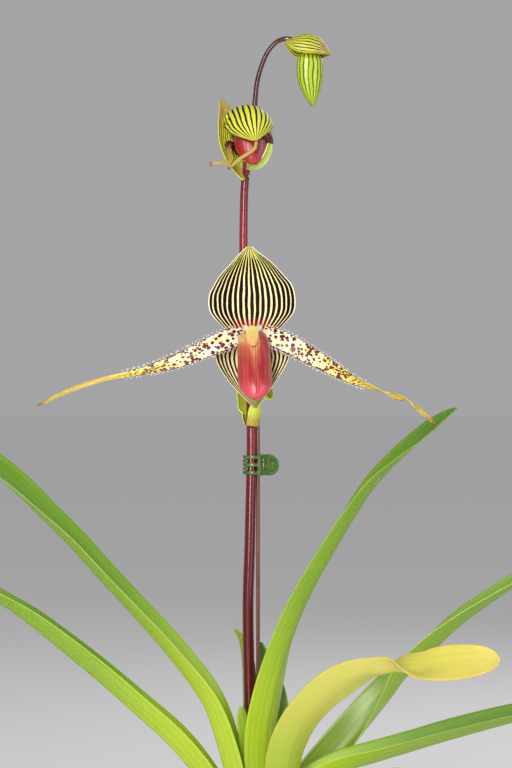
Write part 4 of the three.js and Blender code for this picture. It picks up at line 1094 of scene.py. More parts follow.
@dataclass
class Stalk:
    """A round stem along stations, closed at both ends, with ribs where it is an ovary."""

    name: str
    stations: Stations
    finish: Finish
    slot: str
    stands_for: tuple[str, ...]
    steps: int
    around: int = 20
    ribs: int = 0
    rows: list[Row] = field(init=False)

    def __post_init__(self) -> None:
        """Places the rings."""
        self.rows = even_rows(self.stations, self.steps)

    def point(self, part_around: float, part_along: float) -> Vector:
        """Finds a point of the stem's skin, in mm, from its parts around and along."""
        row = self.rows[round(part_along * self.steps)]
        side = Vector((0, 1, 0))
        side = (side - row.tangent * side.dot(row.tangent)).normalized()
        other = row.tangent.cross(side)
        angle = turned(part_around)
        radius = row.values[3]
        if self.ribs:
            swell = math.sin(math.pi * part_along) ** 0.5 if 0 < part_along < 1 else 0.0
            radius *= 1 + RIB_DEPTH * swell * math.cos(self.ribs * angle)
        if part_along in (0.0, 1.0):
            radius = 0.0
        return away_from(row.point, side, other, radius, angle)

    def build(self) -> None:
        """Builds the stem."""
        bm = closed_mesh(self.around, self.steps, self.point)
        piece = make_piece(bm, self.name, (self.finish,), self.stands_for)
        round_off(piece)


@dataclass
class Cup:
    """A pouch or bud through level rings: up its outside and, if it is open, down its inside."""

    node: str
    rings: Stations
    finish: Finish
    slot: str
    wall: float = 0.0
    dip: float = 0.0
    lip: float = 0.0
    around: int = 40
    steps: int = 56
    creases: float = 0.0

    def ring(self, place: float, inset: float, angle: float) -> Vector:
        """Finds a point on a level ring.

        Args:
            place: Ring index from the rim (0) to the toe, with a part of the way to the next.
            inset: How far inside the outer skin, in mm.
            angle: Angle round the ring, in radians.

        Returns:
            The point, in mm.
        """
        column, row, depth, half_width, half_depth = between(self.rings, place)
        centre = seen(column, row, depth)
        wave = 1 + self.creases * math.cos(3 * angle)
        x = centre.x + max(half_width - inset, 0.0) * math.cos(angle) * wave
        y = centre.y + max(half_depth - inset, 0.0) * math.sin(angle) * wave
        front = max(0.0, -math.sin(angle)) ** 2
        return Vector((x, y, centre.z - self.dip * front / (1 + place * place)))

    def point(self, part_around: float, part_along: float) -> Vector:
        """Finds a point of the skin, in mm, from its parts around and along, toe first."""
        angle = turned(part_around)
        last = len(self.rings) - 1
        if part_along in (0.0, 1.0):
            column, row, depth = self.rings[0 if part_along and not self.wall else last][:3]
            pole = seen(column, row, depth)
            return Vector((pole.x, pole.y, pole.z + (self.wall if part_along else 0.0)))
        if not self.wall:
            return self.ring(last * (1 - part_along), 0.0, angle)
        outward = 1 - abs(2 * part_along - 1)
        inner = part_along > 0.5
        made = self.ring(last * (1 - outward), self.wall if inner else 0.0, angle)
        if inner and outward < 1:
            made.z += self.wall
        flare = self.lip * max(0.0, outward - (1 - LIP_PART)) / LIP_PART
        return made + Vector((math.cos(angle), math.sin(angle), 0.0)) * flare

    def build(self) -> None:
        """Builds the body."""
        bm = closed_mesh(self.around, self.steps, self.point)
        piece = make_piece(bm, self.node + "_skin", (self.finish,), (self.node,))
        round_off(piece)


# Waxy leaf tissue: a soft broad highlight, as wax over a matt green gives.
GREEN_LEAF = LeafFinish(
    "green leaf, waxy upper face", roughness=0.36, coat=0.3, foot="#a4c824", middle="#74a020",
    tip="#5c8a1a", margin="#9cbc40", subsurface=0.12,
)
GREEN_UNDER = LeafFinish(
    "green leaf, paler under face", roughness=0.46, coat=0.1, foot="#b4d02c", middle="#8cb02c",
    tip="#6c9820", margin="#a8c454", subsurface=0.12,
)
FRESH_LEAF = LeafFinish(
    "young leaf, waxy upper face", roughness=0.36, coat=0.3, foot="#a8c424", middle="#94bc2c",
    tip="#8cb834", subsurface=0.12,
)
YELLOW_LEAF = LeafFinish(
    "yellowing leaf, waxy upper face", roughness=0.34, coat=0.35, foot="#98b42c", middle="#c4cc48",
    tip="#dcd064", margin="#dca858", deep="#b4bc44", keel="#ccd058", middle_at=0.42,
    subsurface=0.15,
)
YELLOW_UNDER = LeafFinish(
    "yellowing leaf, under face", roughness=0.4, coat=0.2, foot="#a8c034", middle="#c8cc58",
    tip="#e4d878", margin="#d49c64", deep="#bcc454", keel="#ccd068", middle_at=0.42,
    subsurface=0.15,
)
# The leaf behind: glossy, with a paler, greyer green that is partly painted sheen.
SHEEN_GREY_LEAF = LeafFinish(
    "leaf behind, glossy, greyed by painted sheen", roughness=0.3, coat=0.5, foot="#8cac38", middle="#86ac44",
    tip="#86ac3c", margin="#c8dc60", subsurface=0.12,
)
SMALL_LEAF = LeafFinish(
    "smallest leaf, lime", roughness=0.32, coat=0.4, foot="#b0cc30", middle="#b4d434",
    tip="#a4c830", margin="#dcec80", subsurface=0.15,
)
SHEATH_TISSUE = LeafFinish(
    "green sheath with a brown margin", foot="#6c8c28", middle="#7c9c30", tip="#8cac34",
    margin="#a07840", veins=26,
)
BRACT_TISSUE = LeafFinish(
    "lime bract with a brown foot", roughness=0.48, foot="#b49c3c", middle="#d8e84c", tip="#e0f060",
    margin="#f2f890", deep="#b8c038", keel="#c4cc48", veins=22, foot_end=0.1, middle_at=0.25,
    subsurface=0.2,
)
# Satin flower tissue: a dull sheen that keeps its stripes and spots crisp.
DORSAL_TISSUE = StripedFinish(
    "dorsal sepal, striped tissue", roughness=0.6, ior=1.2, tip="#e4e080", dark="#16060a",
    early=0.86, late=1.1,
)
DORSAL_BACK = StripedFinish("dorsal sepal, paler back", roughness=0.5, dark="#6a2c34", share=0.5)
LOWER_TISSUE = StripedFinish(
    "lower sepal, striped tissue", roughness=0.55, ior=1.3, share=0.54, foot="#f4ecb8",
    middle="#f4eab4", tip="#e8dc88", early=0.95, late=1.3, margin="#f0e8b0", dark_foot="#3c0a0c",
)
HOOD_TISSUE = StripedFinish(
    "hood, lemon tissue with dark stripes", roughness=0.5, stripes=13, share=0.4, foot="#b8b474",
    middle="#c4cc34", tip="#d4d840", margin="#a88434", dark="#1c0c14", dark_foot="#1c0c14",
    early=0.9, late=1.3, sway=0.16,
)
SECOND_BRACT_TISSUE = StripedFinish(
    "second bract, yellow with fine brown stripes", roughness=0.46, stripes=9, share=0.36,
    foot="#c0b03c", middle="#c8cc34", tip="#b4a040", margin="#d8d850", dark="#4c2814",
    dark_foot="#4c2814", early=0.95, late=1.2,
)
TOP_BRACT_TISSUE = StripedFinish(
    "top bract, yellow with purple stripes", roughness=0.46, stripes=19, share=0.36, foot="#a07830",
    middle="#c4cc30", tip="#c0b454", margin="#ccd048", dark="#482030", dark_foot="#481020",
    early=0.8, late=1.1, sway=0.2,
)
BUD_TISSUE = StripedFinish(
    "bud, lime with olive stripes", roughness=0.32, coat=0.3, share=0.36, foot="#98801c",
    middle="#a8c41c", tip="#b4c828", margin="#503818", dark="#4c5c10", dark_foot="#503410",
    early=0.85, late=1.1, sway=0.2,
)
SECOND_SEPAL_TISSUE = StripedFinish(
    "lower sepals of the opening flower", stripes=7, share=0.26, foot="#c8dc60", middle="#b8d060",
    tip="#c0d858", dark="#7c5c34", dark_foot="#5c2c20", margin="#ece8a8", seam=0.45,
)
PETAL_TISSUE = PetalFinish("petal, spotted warty tissue", roughness=0.4, coat=0.15, subsurface=0.06)
RIBBON_TISSUE = PetalFinish(
    "ribbon petal, tan with a brown line", width=4.0, length=60.0, foot="#3c1410", middle="#a08438",
    outer="#b4a440", tip="#642018", spotted=0.2, spacing=1.6, lanes=2.0, foot_end=0.4,
    middle_at=0.5, warmth=0.0,
)
STAMINODE_TISSUE = LeafFinish(
    "shield, yellow hairy tissue", roughness=0.6, foot="#fff48c", middle="#f4d47c", tip="#e0a068",
    margin="#f0d488", deep="#e0b464", keel="#f8e880", veins=12, foot_end=0.3, middle_at=0.6,
    sheen=0.1,
)
POUCH_TISSUE = PouchFinish(
    "pouch, waxy red tissue", roughness=0.28, coat=0.4, coat_roughness=0.2, subsurface=0.08,
)
# The opening pouch's flank colour is a painted mauve sheen on its right front.
SECOND_POUCH_TISSUE = PouchFinish(
    "opening pouch, crimson tissue", roughness=0.28, coat=0.4, toe="#b01c28", low="#a81820",
    high="#94141a", shoulder="#8c1a1e", rim="#7c2024", inner="#a05038", streak="#d84030",
    vein="#580c14", flank_shade_sheen="#784048", wedge=0.0,
)
# Waxed skin over dark red: a long narrow highlight down the stem.
STEM_SKIN = StemFinish(
    "flower stem, wine-red waxy skin", roughness=0.2, coat=0.6, coat_roughness=0.12,
)
OVARY_SKIN = StemFinish(
    "ovary, ribbed dark red skin", roughness=0.42, coat=0.2, foot="#4c0410", middle="#640c14",
    upper="#7c1420", top="#7c1420",
)
# Pale and yellow hairs catch the light as a fuzz; the stem's hairs and the warts stay dark.
PALE_HAIR = PlainFinish("hairs, colourless", roughness=0.5, tone="#fbeeea", subsurface=0.1)
DARK_HAIR = PlainFinish("hairs, dark rose", roughness=0.5, tone="#8c2c3c")
YELLOW_HAIR = PlainFinish("hairs, yellow", roughness=0.55, tone="#fcf29c")
WART_TISSUE = PlainFinish("warts, dark maroon", roughness=0.3, tone="#5c0a14", coat=0.3)
# Fired clay and bark soak up light, with hardly a highlight.
TERRACOTTA = MottledFinish(
    "terracotta, fired and unglazed", roughness=0.88, tone="#bc6c4a", second="#a85a3c",
    spacing=38.0, grain=0.9, relief=0.15,
)
BARK = MottledFinish(
    "fir bark, red-brown", roughness=0.95, tone="#6a4530", second="#8a6244", spacing=9.0, grain=1.2,
    relief=0.5,
)
DARK_BARK = MottledFinish(
    "fir bark, wet and dark", roughness=0.85, tone="#3e2a20", second="#5c4230", spacing=9.0,
    grain=1.2, relief=0.5,
)
PALE_BARK = MottledFinish(
    "fir bark, inner face", roughness=0.95, tone="#a07a54", second="#84583a", spacing=7.0,
    grain=1.2, relief=0.5,
)
# Leaf bases shine a little under their wax, while roots are felted and dull.
CROWN_TISSUE = MottledFinish(
    "leaf bases, pale and waxy", tone="#c4d460", second="#98ac3c", spacing=9.0, grain=1.5,
    relief=0.15, stretch=(1.0, 1.0, 0.16),
)
ROOT_SKIN = MottledFinish(
    "roots, brown and felted", roughness=0.95, tone="#7a583c", second="#5c3e28", spacing=5.0,
    grain=0.6, relief=0.3, sheen=0.4,
)
# Moulded plastic and drawn steel: small sharp highlights.
STAKE_COATING = MottledFinish(
    "steel stake, gloss brown plastic coating", roughness=0.24, coat=0.5, tone="#7a4038",
    second="#6c342e", spacing=20.0, grain=1.0, relief=0.02,
)
CLIP_PLASTIC = MottledFinish(
    "acrylic clip, moulded and glossy", roughness=0.2, ior=1.49, coat=0.3, tone="#405c22",
    second="#54742e", spacing=6.0, grain=1.0, relief=0.02, subsurface=0.05,
)
SPRING_STEEL = MottledFinish(
    "spring steel, drawn wire", roughness=0.3, ior=1.5, metallic=1.0, tone="#c8c8c0",
    second="#a8acb0", spacing=5.0, grain=0.4, relief=0.01,
)
# A matt floor takes shadows without mirroring the plant.
MATT_FLOOR = PlainFinish("matt pale floor", roughness=1.0, ior=1.01, tone="#f8f8f8")


@dataclass(frozen=True)
class Studio:
    """The pale floor, the soft lights and the camera in front; its fields are in metres."""

    floor_size: float = 60.0
    aim: tuple[float, float, float] = (0.0, 0.0, 0.42)
    world_strength: float = 0.5

    def build_camera(self) -> None:
        """Places the camera level, 1.5 m in front, its picture 537.6 mm high at the stem."""
        data = bpy.data.cameras.new("camera")
        data.sensor_fit = "VERTICAL"
        data.sensor_height = SENSOR
        data.sensor_width = SENSOR
        data.lens = SENSOR * VIEW_DISTANCE / (PICTURE_HEIGHT * PIXEL)
        data.clip_end = self.floor_size
        camera = place_object("camera", data)
        camera.location = Vector((VIEW_X, -VIEW_DISTANCE, VIEW_Z)) * MM
        camera.rotation_euler = Euler((math.radians(90), 0, 0))
        bpy.context.scene.camera = camera

    def build_floor(self) -> None:
        """Lays the floor, which is no part of the plant."""
        bm = bmesh.new()
        bmesh.ops.create_grid(bm, x_segments=8, y_segments=8, size=self.floor_size / 2)
        floor = place_object("floor", settle(bm, "floor"))
        floor.data.materials.append(MATT_FLOOR.material())

    def build_light(self, name: str, place: tuple[float, float, float],
                    size: tuple[float, float], power: float, colour: str) -> None:
        """Hangs one soft lamp that faces the aim.

        Args:
            name: Its name.
            place: Where it hangs, in metres.
            size: Its width and height in metres.
            power: Its power in watts.
            colour: Its colour as sRGB hex.
        """
        data = bpy.data.lights.new(name, "AREA")
        data.shape = "RECTANGLE"
        data.size, data.size_y = size
        data.energy = power
        data.color = linear(colour)[:3]
        lamp = place_object(name, data)
        lamp.location = place
        lamp.rotation_euler = (Vector(self.aim) - Vector(place)).to_track_quat("-Z", "Y").to_euler()

    def build(self) -> None:
        """Builds the studio round the plant."""
        self.build_camera()
        self.build_floor()
        self.build_light("key", (-0.4, -1.6, 0.95), size=(0.45, 1.5), power=28.0,
                         colour="#fffaf2")
        self.build_light("fill", (1.5, -1.2, 0.8), size=(0.4, 1.6), power=7.0,
                         colour="#f6f9ff")
        self.build_light("rim", (0.9, 1.5, 1.5), size=(1.0, 1.0), power=9.0,
                         colour="#ffffff")
        world = bpy.data.worlds.new("studio")
        world.use_nodes = True
        ground = next(node for node in world.node_tree.nodes if node.type == "BACKGROUND")
        ground.inputs["Color"].default_value = linear("#e0e0e2")
        ground.inputs["Strength"].default_value = self.world_strength
        bpy.context.scene.world = world
        bpy.context.scene.view_settings.view_transform = "Standard"


class Leaves:
    """The nine strap leaves and the sheath at the foot of the stem."""

    def build(self) -> None:
        """Builds every leaf with its keel, veins and margins."""
        green = (GREEN_LEAF, GREEN_UNDER)
        fresh = (FRESH_LEAF, GREEN_UNDER)
        for node, stations, finishes, steps, side in (
            ("leaf_upper_left", LEAF_UPPER_LEFT, green, 80, Side.RIGHT),
            ("leaf_lower_left", LEAF_LOWER_LEFT, green, 72, Side.RIGHT),
            ("leaf_tall", LEAF_TALL, green, 84, Side.LEFT),
            ("leaf_yellow", LEAF_YELLOW, (YELLOW_LEAF, YELLOW_UNDER), 88, Side.LEFT),
            ("leaf_behind", LEAF_BEHIND, (SHEEN_GREY_LEAF, GREEN_UNDER), 76, Side.LEFT),
            ("leaf_low_right", LEAF_LOW_RIGHT, green, 64, Side.LEFT),
            ("leaf_short_right", LEAF_SHORT_RIGHT, fresh, 40, Side.LEFT),
            ("leaf_rear", LEAF_REAR, green, 44, Side.LEFT),
            ("leaf_small", LEAF_SMALL, (SMALL_LEAF, SMALL_LEAF), 36, Side.LEFT),
        ):
            slot = "yellow_leaf_tissue" if node == "leaf_yellow" else "leaf_tissue"
            Blade(node, stations, finishes, slot, steps, side=side).build()
        Blade("stem_sheath", SHEATH, (SHEATH_TISSUE, SHEATH_TISSUE), "bract_tissue", 36,
              thickness=SEPAL_THICKNESS, side=Side.LEFT, section=Section.ROLLED,
              centred=False).build()


@dataclass(frozen=True)
class OpenFlower:
    """The open flower: two striped sepals, two long spotted petals, pouch, shield and bract."""

    wart_start: float = 0.06
    wart_shift: float = 0.008
    wart_end: float = 0.6
    wart_pitch: float = 0.0155
    wart_jitter: tuple[float, float] = (0.8, 1.3)
    wart_radii: tuple[float, float] = (0.5, 0.85)
    tufts_per_wart: int = 4
    shield_tufts: int = 90
    shield_hairs: int = 300
    fringe_hairs: int = 260

    def edge_petal(self, petal: Blade, warts: bmesh.types.BMesh, tufts: Hairs) -> None:
        """Sets dark warts with white tufts along the petal's margins over its broad half.

        Args:
            petal: The petal.
            warts: The mesh that gathers the warts.
            tufts: The hairs.
        """
        for end in (0, 1):
            part = self.wart_start + self.wart_shift * end
            while part < self.wart_end:
                place, way = petal.margin(end, part)
                size = random.uniform(*self.wart_radii) * (1 - 0.5 * part)
                bmesh.ops.create_icosphere(warts, subdivisions=1, radius=size,
                                           matrix=Matrix.Translation(place + Vector((0, -0.4, 0))))
                for _ in range(self.tufts_per_wart):
                    tufts.grow(place + way * 0.2, way + Vector((0, -0.35, 0)), 0.4)
                part += self.wart_pitch * random.uniform(*self.wart_jitter)

    def add_hairs(self, shield: Blade, dorsal: Blade, petals: Sequence[Blade]) -> None:
        """Grows the tufts beside the shield, its down, and the edges of the sepal and petals."""
        tufts = Hairs("petal_tufts", PALE_HAIR, "spotted_petal", 2.5, 0.34)
        warts = bmesh.new()
        for petal in petals:
            self.edge_petal(petal, warts, tufts)
        make_piece(warts, "petal_warts", (WART_TISSUE,))
        for column, lean in ((246.4, -0.7), (258.0, 0.7)):
            for _ in range(self.shield_tufts):
                root = seen(column + random.uniform(-2.0, 2.0), 328.5 + random.uniform(-2.6, 2.6),
                            -22)
                tufts.grow(root, Vector((lean, -0.8, random.uniform(-0.1, 0.9))), 0.3)
        tufts.build()
        down = Hairs("shield_down", YELLOW_HAIR, "staminode_tissue", 1.5, 0.1)
        for _ in range(self.shield_hairs):
            across, along = random.uniform(0.04, 0.96), random.uniform(0.12, 0.97)
            way = shield.outward(across, along)
            down.grow(shield.point(across, along) + way * 0.6, way + Vector((0, 0, -0.6)), 0.3)
        down.build()
        fringe = Hairs("sepal_fringe", PALE_HAIR, "striped_sepal", 0.6, 0.05)
        for _ in range(self.fringe_hairs):
            place, way = dorsal.margin(random.randint(0, 1), random.uniform(0.1, 0.97))
            fringe.grow(place, way, 0.2)
        fringe.build()

    def build(self) -> None:
        """Builds the flower."""
        sepal = {"thickness": SEPAL_THICKNESS, "section": Section.ROLLED, "centred": False,
                 "cells": 18}
        petal = {"thickness": PETAL_THICKNESS, "softness": 0.6, "cells": 8, "steps": 110}
        dorsal = Blade("dorsal_sepal", DORSAL_SEPAL, (DORSAL_TISSUE, DORSAL_BACK), "striped_sepal",
                       steps=48, **sepal)
        lower = Blade("lower_sepal", LOWER_SEPAL, (LOWER_TISSUE, DORSAL_BACK), "striped_sepal",
                      steps=44, **sepal)
        petals = [Blade(node, stations, (PETAL_TISSUE, PETAL_TISSUE), "spotted_petal", **petal)
                  for node, stations in (("petal_left", PETAL_LEFT), ("petal_right", PETAL_RIGHT))]
        shield = Blade("staminode", STAMINODE, (STAMINODE_TISSUE,), "staminode_tissue", steps=24,
                       cells=8, thickness=1.8, softness=0.6)
        bract = Blade("bract", BRACT, (BRACT_TISSUE, BRACT_TISSUE), "bract_tissue", steps=36,
                      ripple=0.7, waves=4.0, **sepal)
        for blade in (dorsal, lower, *petals, shield, bract):
            blade.build()
        Cup("pouch", POUCH, POUCH_TISSUE, "pouch_tissue", POUCH_WALL, POUCH_RIM_DIP,
            POUCH_LIP).build()
        self.add_hairs(shield, dorsal, petals)


class OpeningFlower:
    """The second flower, half open under its hood, with curling ribbon petals."""

    def build(self) -> None:
        """Builds the flower."""
        for node, stations, finish, steps, section in (
            ("second_hood", SECOND_HOOD, HOOD_TISSUE, 52, Section.CROSSWISE),
            ("second_lower_sepal", SECOND_LOWER_SEPAL, SECOND_SEPAL_TISSUE, 32, Section.ROLLED),
            ("second_bract", SECOND_BRACT, SECOND_BRACT_TISSUE, 40, Section.ROLLED),
        ):
            Blade(node, stations, (finish, finish), "striped_bud", steps, cells=14,
                  thickness=SEPAL_THICKNESS, section=section).build()
        for node, stations in (("second_petal_left", SECOND_PETAL_LEFT),
                               ("second_petal_right", SECOND_PETAL_RIGHT)):
            Blade(node, stations, (RIBBON_TISSUE, RIBBON_TISSUE), "spotted_petal", 80, cells=4,
                  thickness=PETAL_THICKNESS, softness=0.6).build()
        Cup("second_pouch", SECOND_POUCH, SECOND_POUCH_TISSUE, "pouch_tissue", POUCH_WALL,
            lip=POUCH_LIP).build()


class TopBud:
    """The closed bud that hangs under its bract at the stem's top."""

    def build(self) -> None:
        """Builds the bract and the bud."""
        Blade("top_bract", TOP_BRACT, (TOP_BRACT_TISSUE, TOP_BRACT_TISSUE), "striped_bud", steps=40,
              cells=16, thickness=SEPAL_THICKNESS, section=Section.ROLLED).build()
        Cup("top_bud", TOP_BUD, BUD_TISSUE, "striped_bud", creases=0.03).build()


@dataclass(frozen=True)
class Stems:
    """The flower stem with its ovaries, and the stake that holds it."""

    hairs: int = 1300
    haired: tuple[float, float] = (0.28, 0.93)
    stake_rounding: int = 40

    def seat(self, name: str, place: Station, radius: float) -> None:
        """Builds the swollen place where a flower's parts meet.

        Args:
            name: The piece's name.
            place: Column, row and depth of its centre.
            radius: Its radius in mm.
        """
        bm = bmesh.new()
        bm.loops.layers.uv.new("UVMap")
        bmesh.ops.create_uvsphere(bm, u_segments=20, v_segments=12, radius=radius, calc_uvs=True,
                                  matrix=Matrix.Translation(seen(*place)))
        make_piece(bm, name, (OVARY_SKIN,), ("flower_stem",))

    def grow_hairs(self, stem: Stalk) -> None:
        """Grows the short dark rose hairs that stand off the stem above the leaves."""
        fuzz = Hairs("stem_hairs", DARK_HAIR, "stem_tissue", 0.7, 0.05)
        for _ in range(self.hairs):
            part = random.uniform(*self.haired)
            around = random.random()
            place = stem.point(around, part)
            fuzz.grow(place, place - stem.rows[round(part * stem.steps)].point, 0.25)
        fuzz.build()

    def build(self) -> None:
        """Builds the stems and the stake."""
        stem = Stalk("stem_skin", STEM, STEM_SKIN, "stem_tissue", ("flower_stem",), steps=200)
        stem.build()
        self.grow_hairs(stem)
        for name, stations, steps in (("ovary_skin", OVARY, 40),
                                      ("second_ovary_skin", SECOND_OVARY, 24)):
            Stalk(name, stations, OVARY_SKIN, "stem_tissue", ("flower_stem",), steps,
                  ribs=6).build()
        self.seat("flower_seat", FLOWER_SEAT, FLOWER_SEAT_RADIUS)
        self.seat("second_flower_seat", SECOND_SEAT, SECOND_SEAT_RADIUS)
        x, y = STAKE_PLACE

        def on_stake(part_around: float, part_along: float) -> Vector:
            """Finds a point of the stake's skin, its ends rounded."""
            angle = turned(part_around)
            end = min(part_along, 1 - part_along) * self.stake_rounding
            radius = STAKE_RADIUS * math.sin(min(1.0, end) * math.pi / 2) ** 0.5 if end > 0 else 0.0
            height = STAKE_FOOT + (STAKE_TOP - STAKE_FOOT) * part_along
            return Vector((x + radius * math.cos(angle), y + radius * math.sin(angle), height))

        bm = closed_mesh(16, 80, on_stake)
        make_piece(bm, "stake_coat", (STAKE_COATING,), ("stake",))


@dataclass(frozen=True)
class Pot:
    """The clay pot, its bark, and the crown with its roots."""

    edge: float = 0.9
    edge_angle: float = 28.0
    chips: int = 300
    chip_reach: float = 61.0
    chip_clear: tuple[float, float] = (33.0, 23.0)
    chip_sizes: tuple[tuple[float, float], ...] = ((7, 15), (5, 9), (2, 4))
    chip_warp: float = 0.9
    floor_part: float = 0.2
    wall_part: float = 0.5

    def profile(self) -> list[tuple[float, float]]:
        """Lists the radius and height of the pot's outline, from under its middle to inside it."""
        rim_foot = POT_HEIGHT - POT_RIM_HEIGHT
        inner_top = POT_RIM_RADIUS - POT_WALL - 1.5
        return [
            (0.0, 0.0), (POT_BASE_RADIUS - 2, 0.0), (POT_BASE_RADIUS, 2.0),
            (POT_WAIST_RADIUS, rim_foot), (POT_RIM_RADIUS - 2.5, rim_foot + 0.5),
            (POT_RIM_RADIUS - 1.5, rim_foot + 2.5), (POT_RIM_RADIUS, POT_HEIGHT - 3),
            (POT_RIM_RADIUS - 2, POT_HEIGHT), (inner_top + 1.5, POT_HEIGHT),
            (inner_top, POT_HEIGHT - 2),
            (POT_BASE_RADIUS - POT_WALL, POT_FLOOR), (0.0, POT_FLOOR),
        ]

    def build_pot(self) -> None:
        """Turns the pot, rounds its edges and drills its drains."""
        bm = bmesh.new()
        corners = [bm.verts.new((radius, 0.0, height)) for radius, height in self.profile()]
        edges = [bm.edges.new(pair) for pair in zip(corners, corners[1:])]
        turned_mesh(bm, corners, edges, (0, 0, 0), 96)
        piece = make_piece(bm, "pot_body", (TERRACOTTA,), ("clay_pot",))
        for i in range(DRAIN_COUNT):
            angle = 2 * math.pi * (i + 0.25) / DRAIN_COUNT
            centre = Vector((DRAIN_CIRCLE * math.cos(angle), DRAIN_CIRCLE * math.sin(angle),
                             POT_FLOOR / 2)) * MM
            drill = bmesh.new()
            bmesh.ops.create_cone(drill, cap_ends=True, segments=24, radius1=DRAIN_RADIUS * MM,
                                  radius2=DRAIN_RADIUS * MM, depth=0.02,
                                  matrix=Matrix.Translation(centre))
            mesh = settle(drill, "drill")
            cutter = place_object("drill", mesh)
            cut = piece.modifiers.new("drain", "BOOLEAN")
            cut.object = cutter
            cut.solver = "EXACT"
            with bpy.context.temp_override(object=piece, active_object=piece,
                                           selected_objects=[piece]):
                bpy.ops.object.modifier_apply(modifier=cut.name)
            bpy.data.objects.remove(cutter)
            bpy.data.meshes.remove(mesh)
        edge = piece.modifiers.new("edges", "BEVEL")
        edge.width = self.edge * MM
        edge.segments = 3
        edge.limit_method = "ANGLE"
        edge.angle_limit = math.radians(self.edge_angle)

    def bark_height(self, x: float, y: float) -> float:
        """Gives the height of the bark's rough top at a place, all in mm."""
        coarse = math.sin(x * 0.31 + 1.3) * math.cos(y * 0.27 - 0.4)
        fine = math.sin(x * 0.83 - y * 0.47) * math.sin(y * 0.91 + x * 0.38)
        return MEDIUM_TOP + MEDIUM_RELIEF * (0.55 * coarse + 0.6 * fine)

    def build_bark(self) -> None:
        """Builds the body of the bark, then scatters loose chips over its top."""
        bottom = POT_BASE_RADIUS - POT_WALL - 0.6
        slope = (POT_RIM_RADIUS - POT_BASE_RADIUS - POT_WALL + 3.5) / (POT_HEIGHT - 2 - POT_FLOOR)
        top = bottom + slope * (MEDIUM_TOP - POT_FLOOR) - 1

        def on_bark(part_around: float, part_along: float) -> Vector:
            """Finds a point of the bark's skin, from under its middle to the middle of its top."""
            angle = turned(part_around)
            if part_along < self.floor_part:
                radius, height = bottom * part_along / self.floor_part, POT_FLOOR + 0.3
            elif part_along < self.wall_part:
                part = (part_along - self.floor_part) / (self.wall_part - self.floor_part)
                radius = bottom + (top - bottom) * part
                height = POT_FLOOR + (MEDIUM_TOP - POT_FLOOR) * part
            else:
                radius, height = top * (1 - part_along) / (1 - self.wall_part), 0.0
            x, y = radius * math.cos(angle), radius * math.sin(angle)
            return Vector((x, y, height or self.bark_height(x, y)))

        make_piece(closed_mesh(72, 60, on_bark), "bark_body", (BARK,), ("bark_medium",))
        bm = bmesh.new()
        placed = 0
        wide, deep = self.chip_clear
        while placed < self.chips:
            radius = self.chip_reach * math.sqrt(random.random())
            angle = random.uniform(0, 2 * math.pi)
            x, y = radius * math.cos(angle), radius * math.sin(angle)
            if ((x - CROWN_PLACE[0]) / wide) ** 2 + ((y - CROWN_PLACE[1]) / deep) ** 2 < 1:
                continue
            placed += 1
            size = Vector([random.uniform(*span) for span in self.chip_sizes])
            tilt = Euler((random.gauss(0, 0.3), random.gauss(0, 0.3), random.uniform(0, 6.3)))
            spot = Vector((x, y, self.bark_height(x, y) + random.uniform(-0.5, 1.6)))
            chip = bmesh.ops.create_cube(bm, size=1.0, matrix=Matrix.LocRotScale(spot, tilt, size))
            for vertex in chip["verts"]:
                vertex.co += Vector([random.uniform(-self.chip_warp, self.chip_warp)
                                     for _ in range(3)])
            for face in {face for vertex in chip["verts"] for face in vertex.link_faces}:
                face.material_index = placed % 3
        bmesh.ops.bevel(bm, geom=bm.edges, offset=0.6, segments=1, affect="EDGES", profile=0.5,
                        material=-1)
        make_piece(bm, "bark_chips", (BARK, DARK_BARK, PALE_BARK))

    def build_crown(self) -> None:
        """Builds the crown of sheathing leaf bases and its roots in the bark."""
        last = len(CROWN_RINGS) - 1

        def on_crown(part_around: float, part_along: float) -> Vector:
            """Finds a point of the crown's skin, its grooves running up between the leaf bases."""
            height, half_width, half_depth = between(CROWN_RINGS, part_along * last)
            angle = turned(part_around)
            swell = 1 - CROWN_GROOVE * (1 - abs(math.sin(CROWN_SHEATHS / 2 * angle)) ** 0.6)
            if part_along in (0.0, 1.0):
                swell = 0.0
            return Vector((CROWN_PLACE[0] + half_width * swell * math.cos(angle),
                           CROWN_PLACE[1] + half_depth * swell * math.sin(angle), height))

        make_piece(closed_mesh(96, 48, on_crown), "crown_body", (CROWN_TISSUE,),
                   ("crown",))
        for i, (heading, reach, drop) in enumerate(ROOTS):
            way = Vector((math.cos(math.radians(heading)), math.sin(math.radians(heading)), 0))
            middle = Vector((*CROWN_PLACE, CROWN_FOOT))
            path = tuple(tuple(middle + way * out - Vector((0, 0, down)))
                         for out, down in ((6, 0), (reach * 0.6, drop * 0.3),
                                           (reach * 0.9, drop * 0.7), (reach, drop)))

            def on_root(part_around: float, part_along: float) -> Vector:
                """Finds a point of the root's skin."""
                angle = turned(part_around)
                point = Vector(between(path, part_along * (len(path) - 1)))
                radius = ROOT_RADIUS if 0 < part_along < 1 else 0.0
                side = Vector((-way.y, way.x, 0))
                return away_from(point, side, way * 0.6 + Vector((0, 0, 0.8)), radius, angle)

            make_piece(closed_mesh(12, 24, on_root), f"root_{i}", (ROOT_SKIN,),
                       ("crown",))

    def build(self) -> None:
        """Builds the pot and what is in it."""
        self.build_pot()
        self.build_bark()
        self.build_crown()


def rounded(part_around: float, half_width: float, half_height: float) -> tuple[float, float]:
    """Finds a point on the outline of a rectangle with rounded corners."""
    angle = turned(part_around)
    cos, sin = math.cos(angle), math.sin(angle)
    return (half_width * math.copysign(abs(cos) ** CORNER_POWER, cos),
            half_height * math.copysign(abs(sin) ** CORNER_POWER, sin))


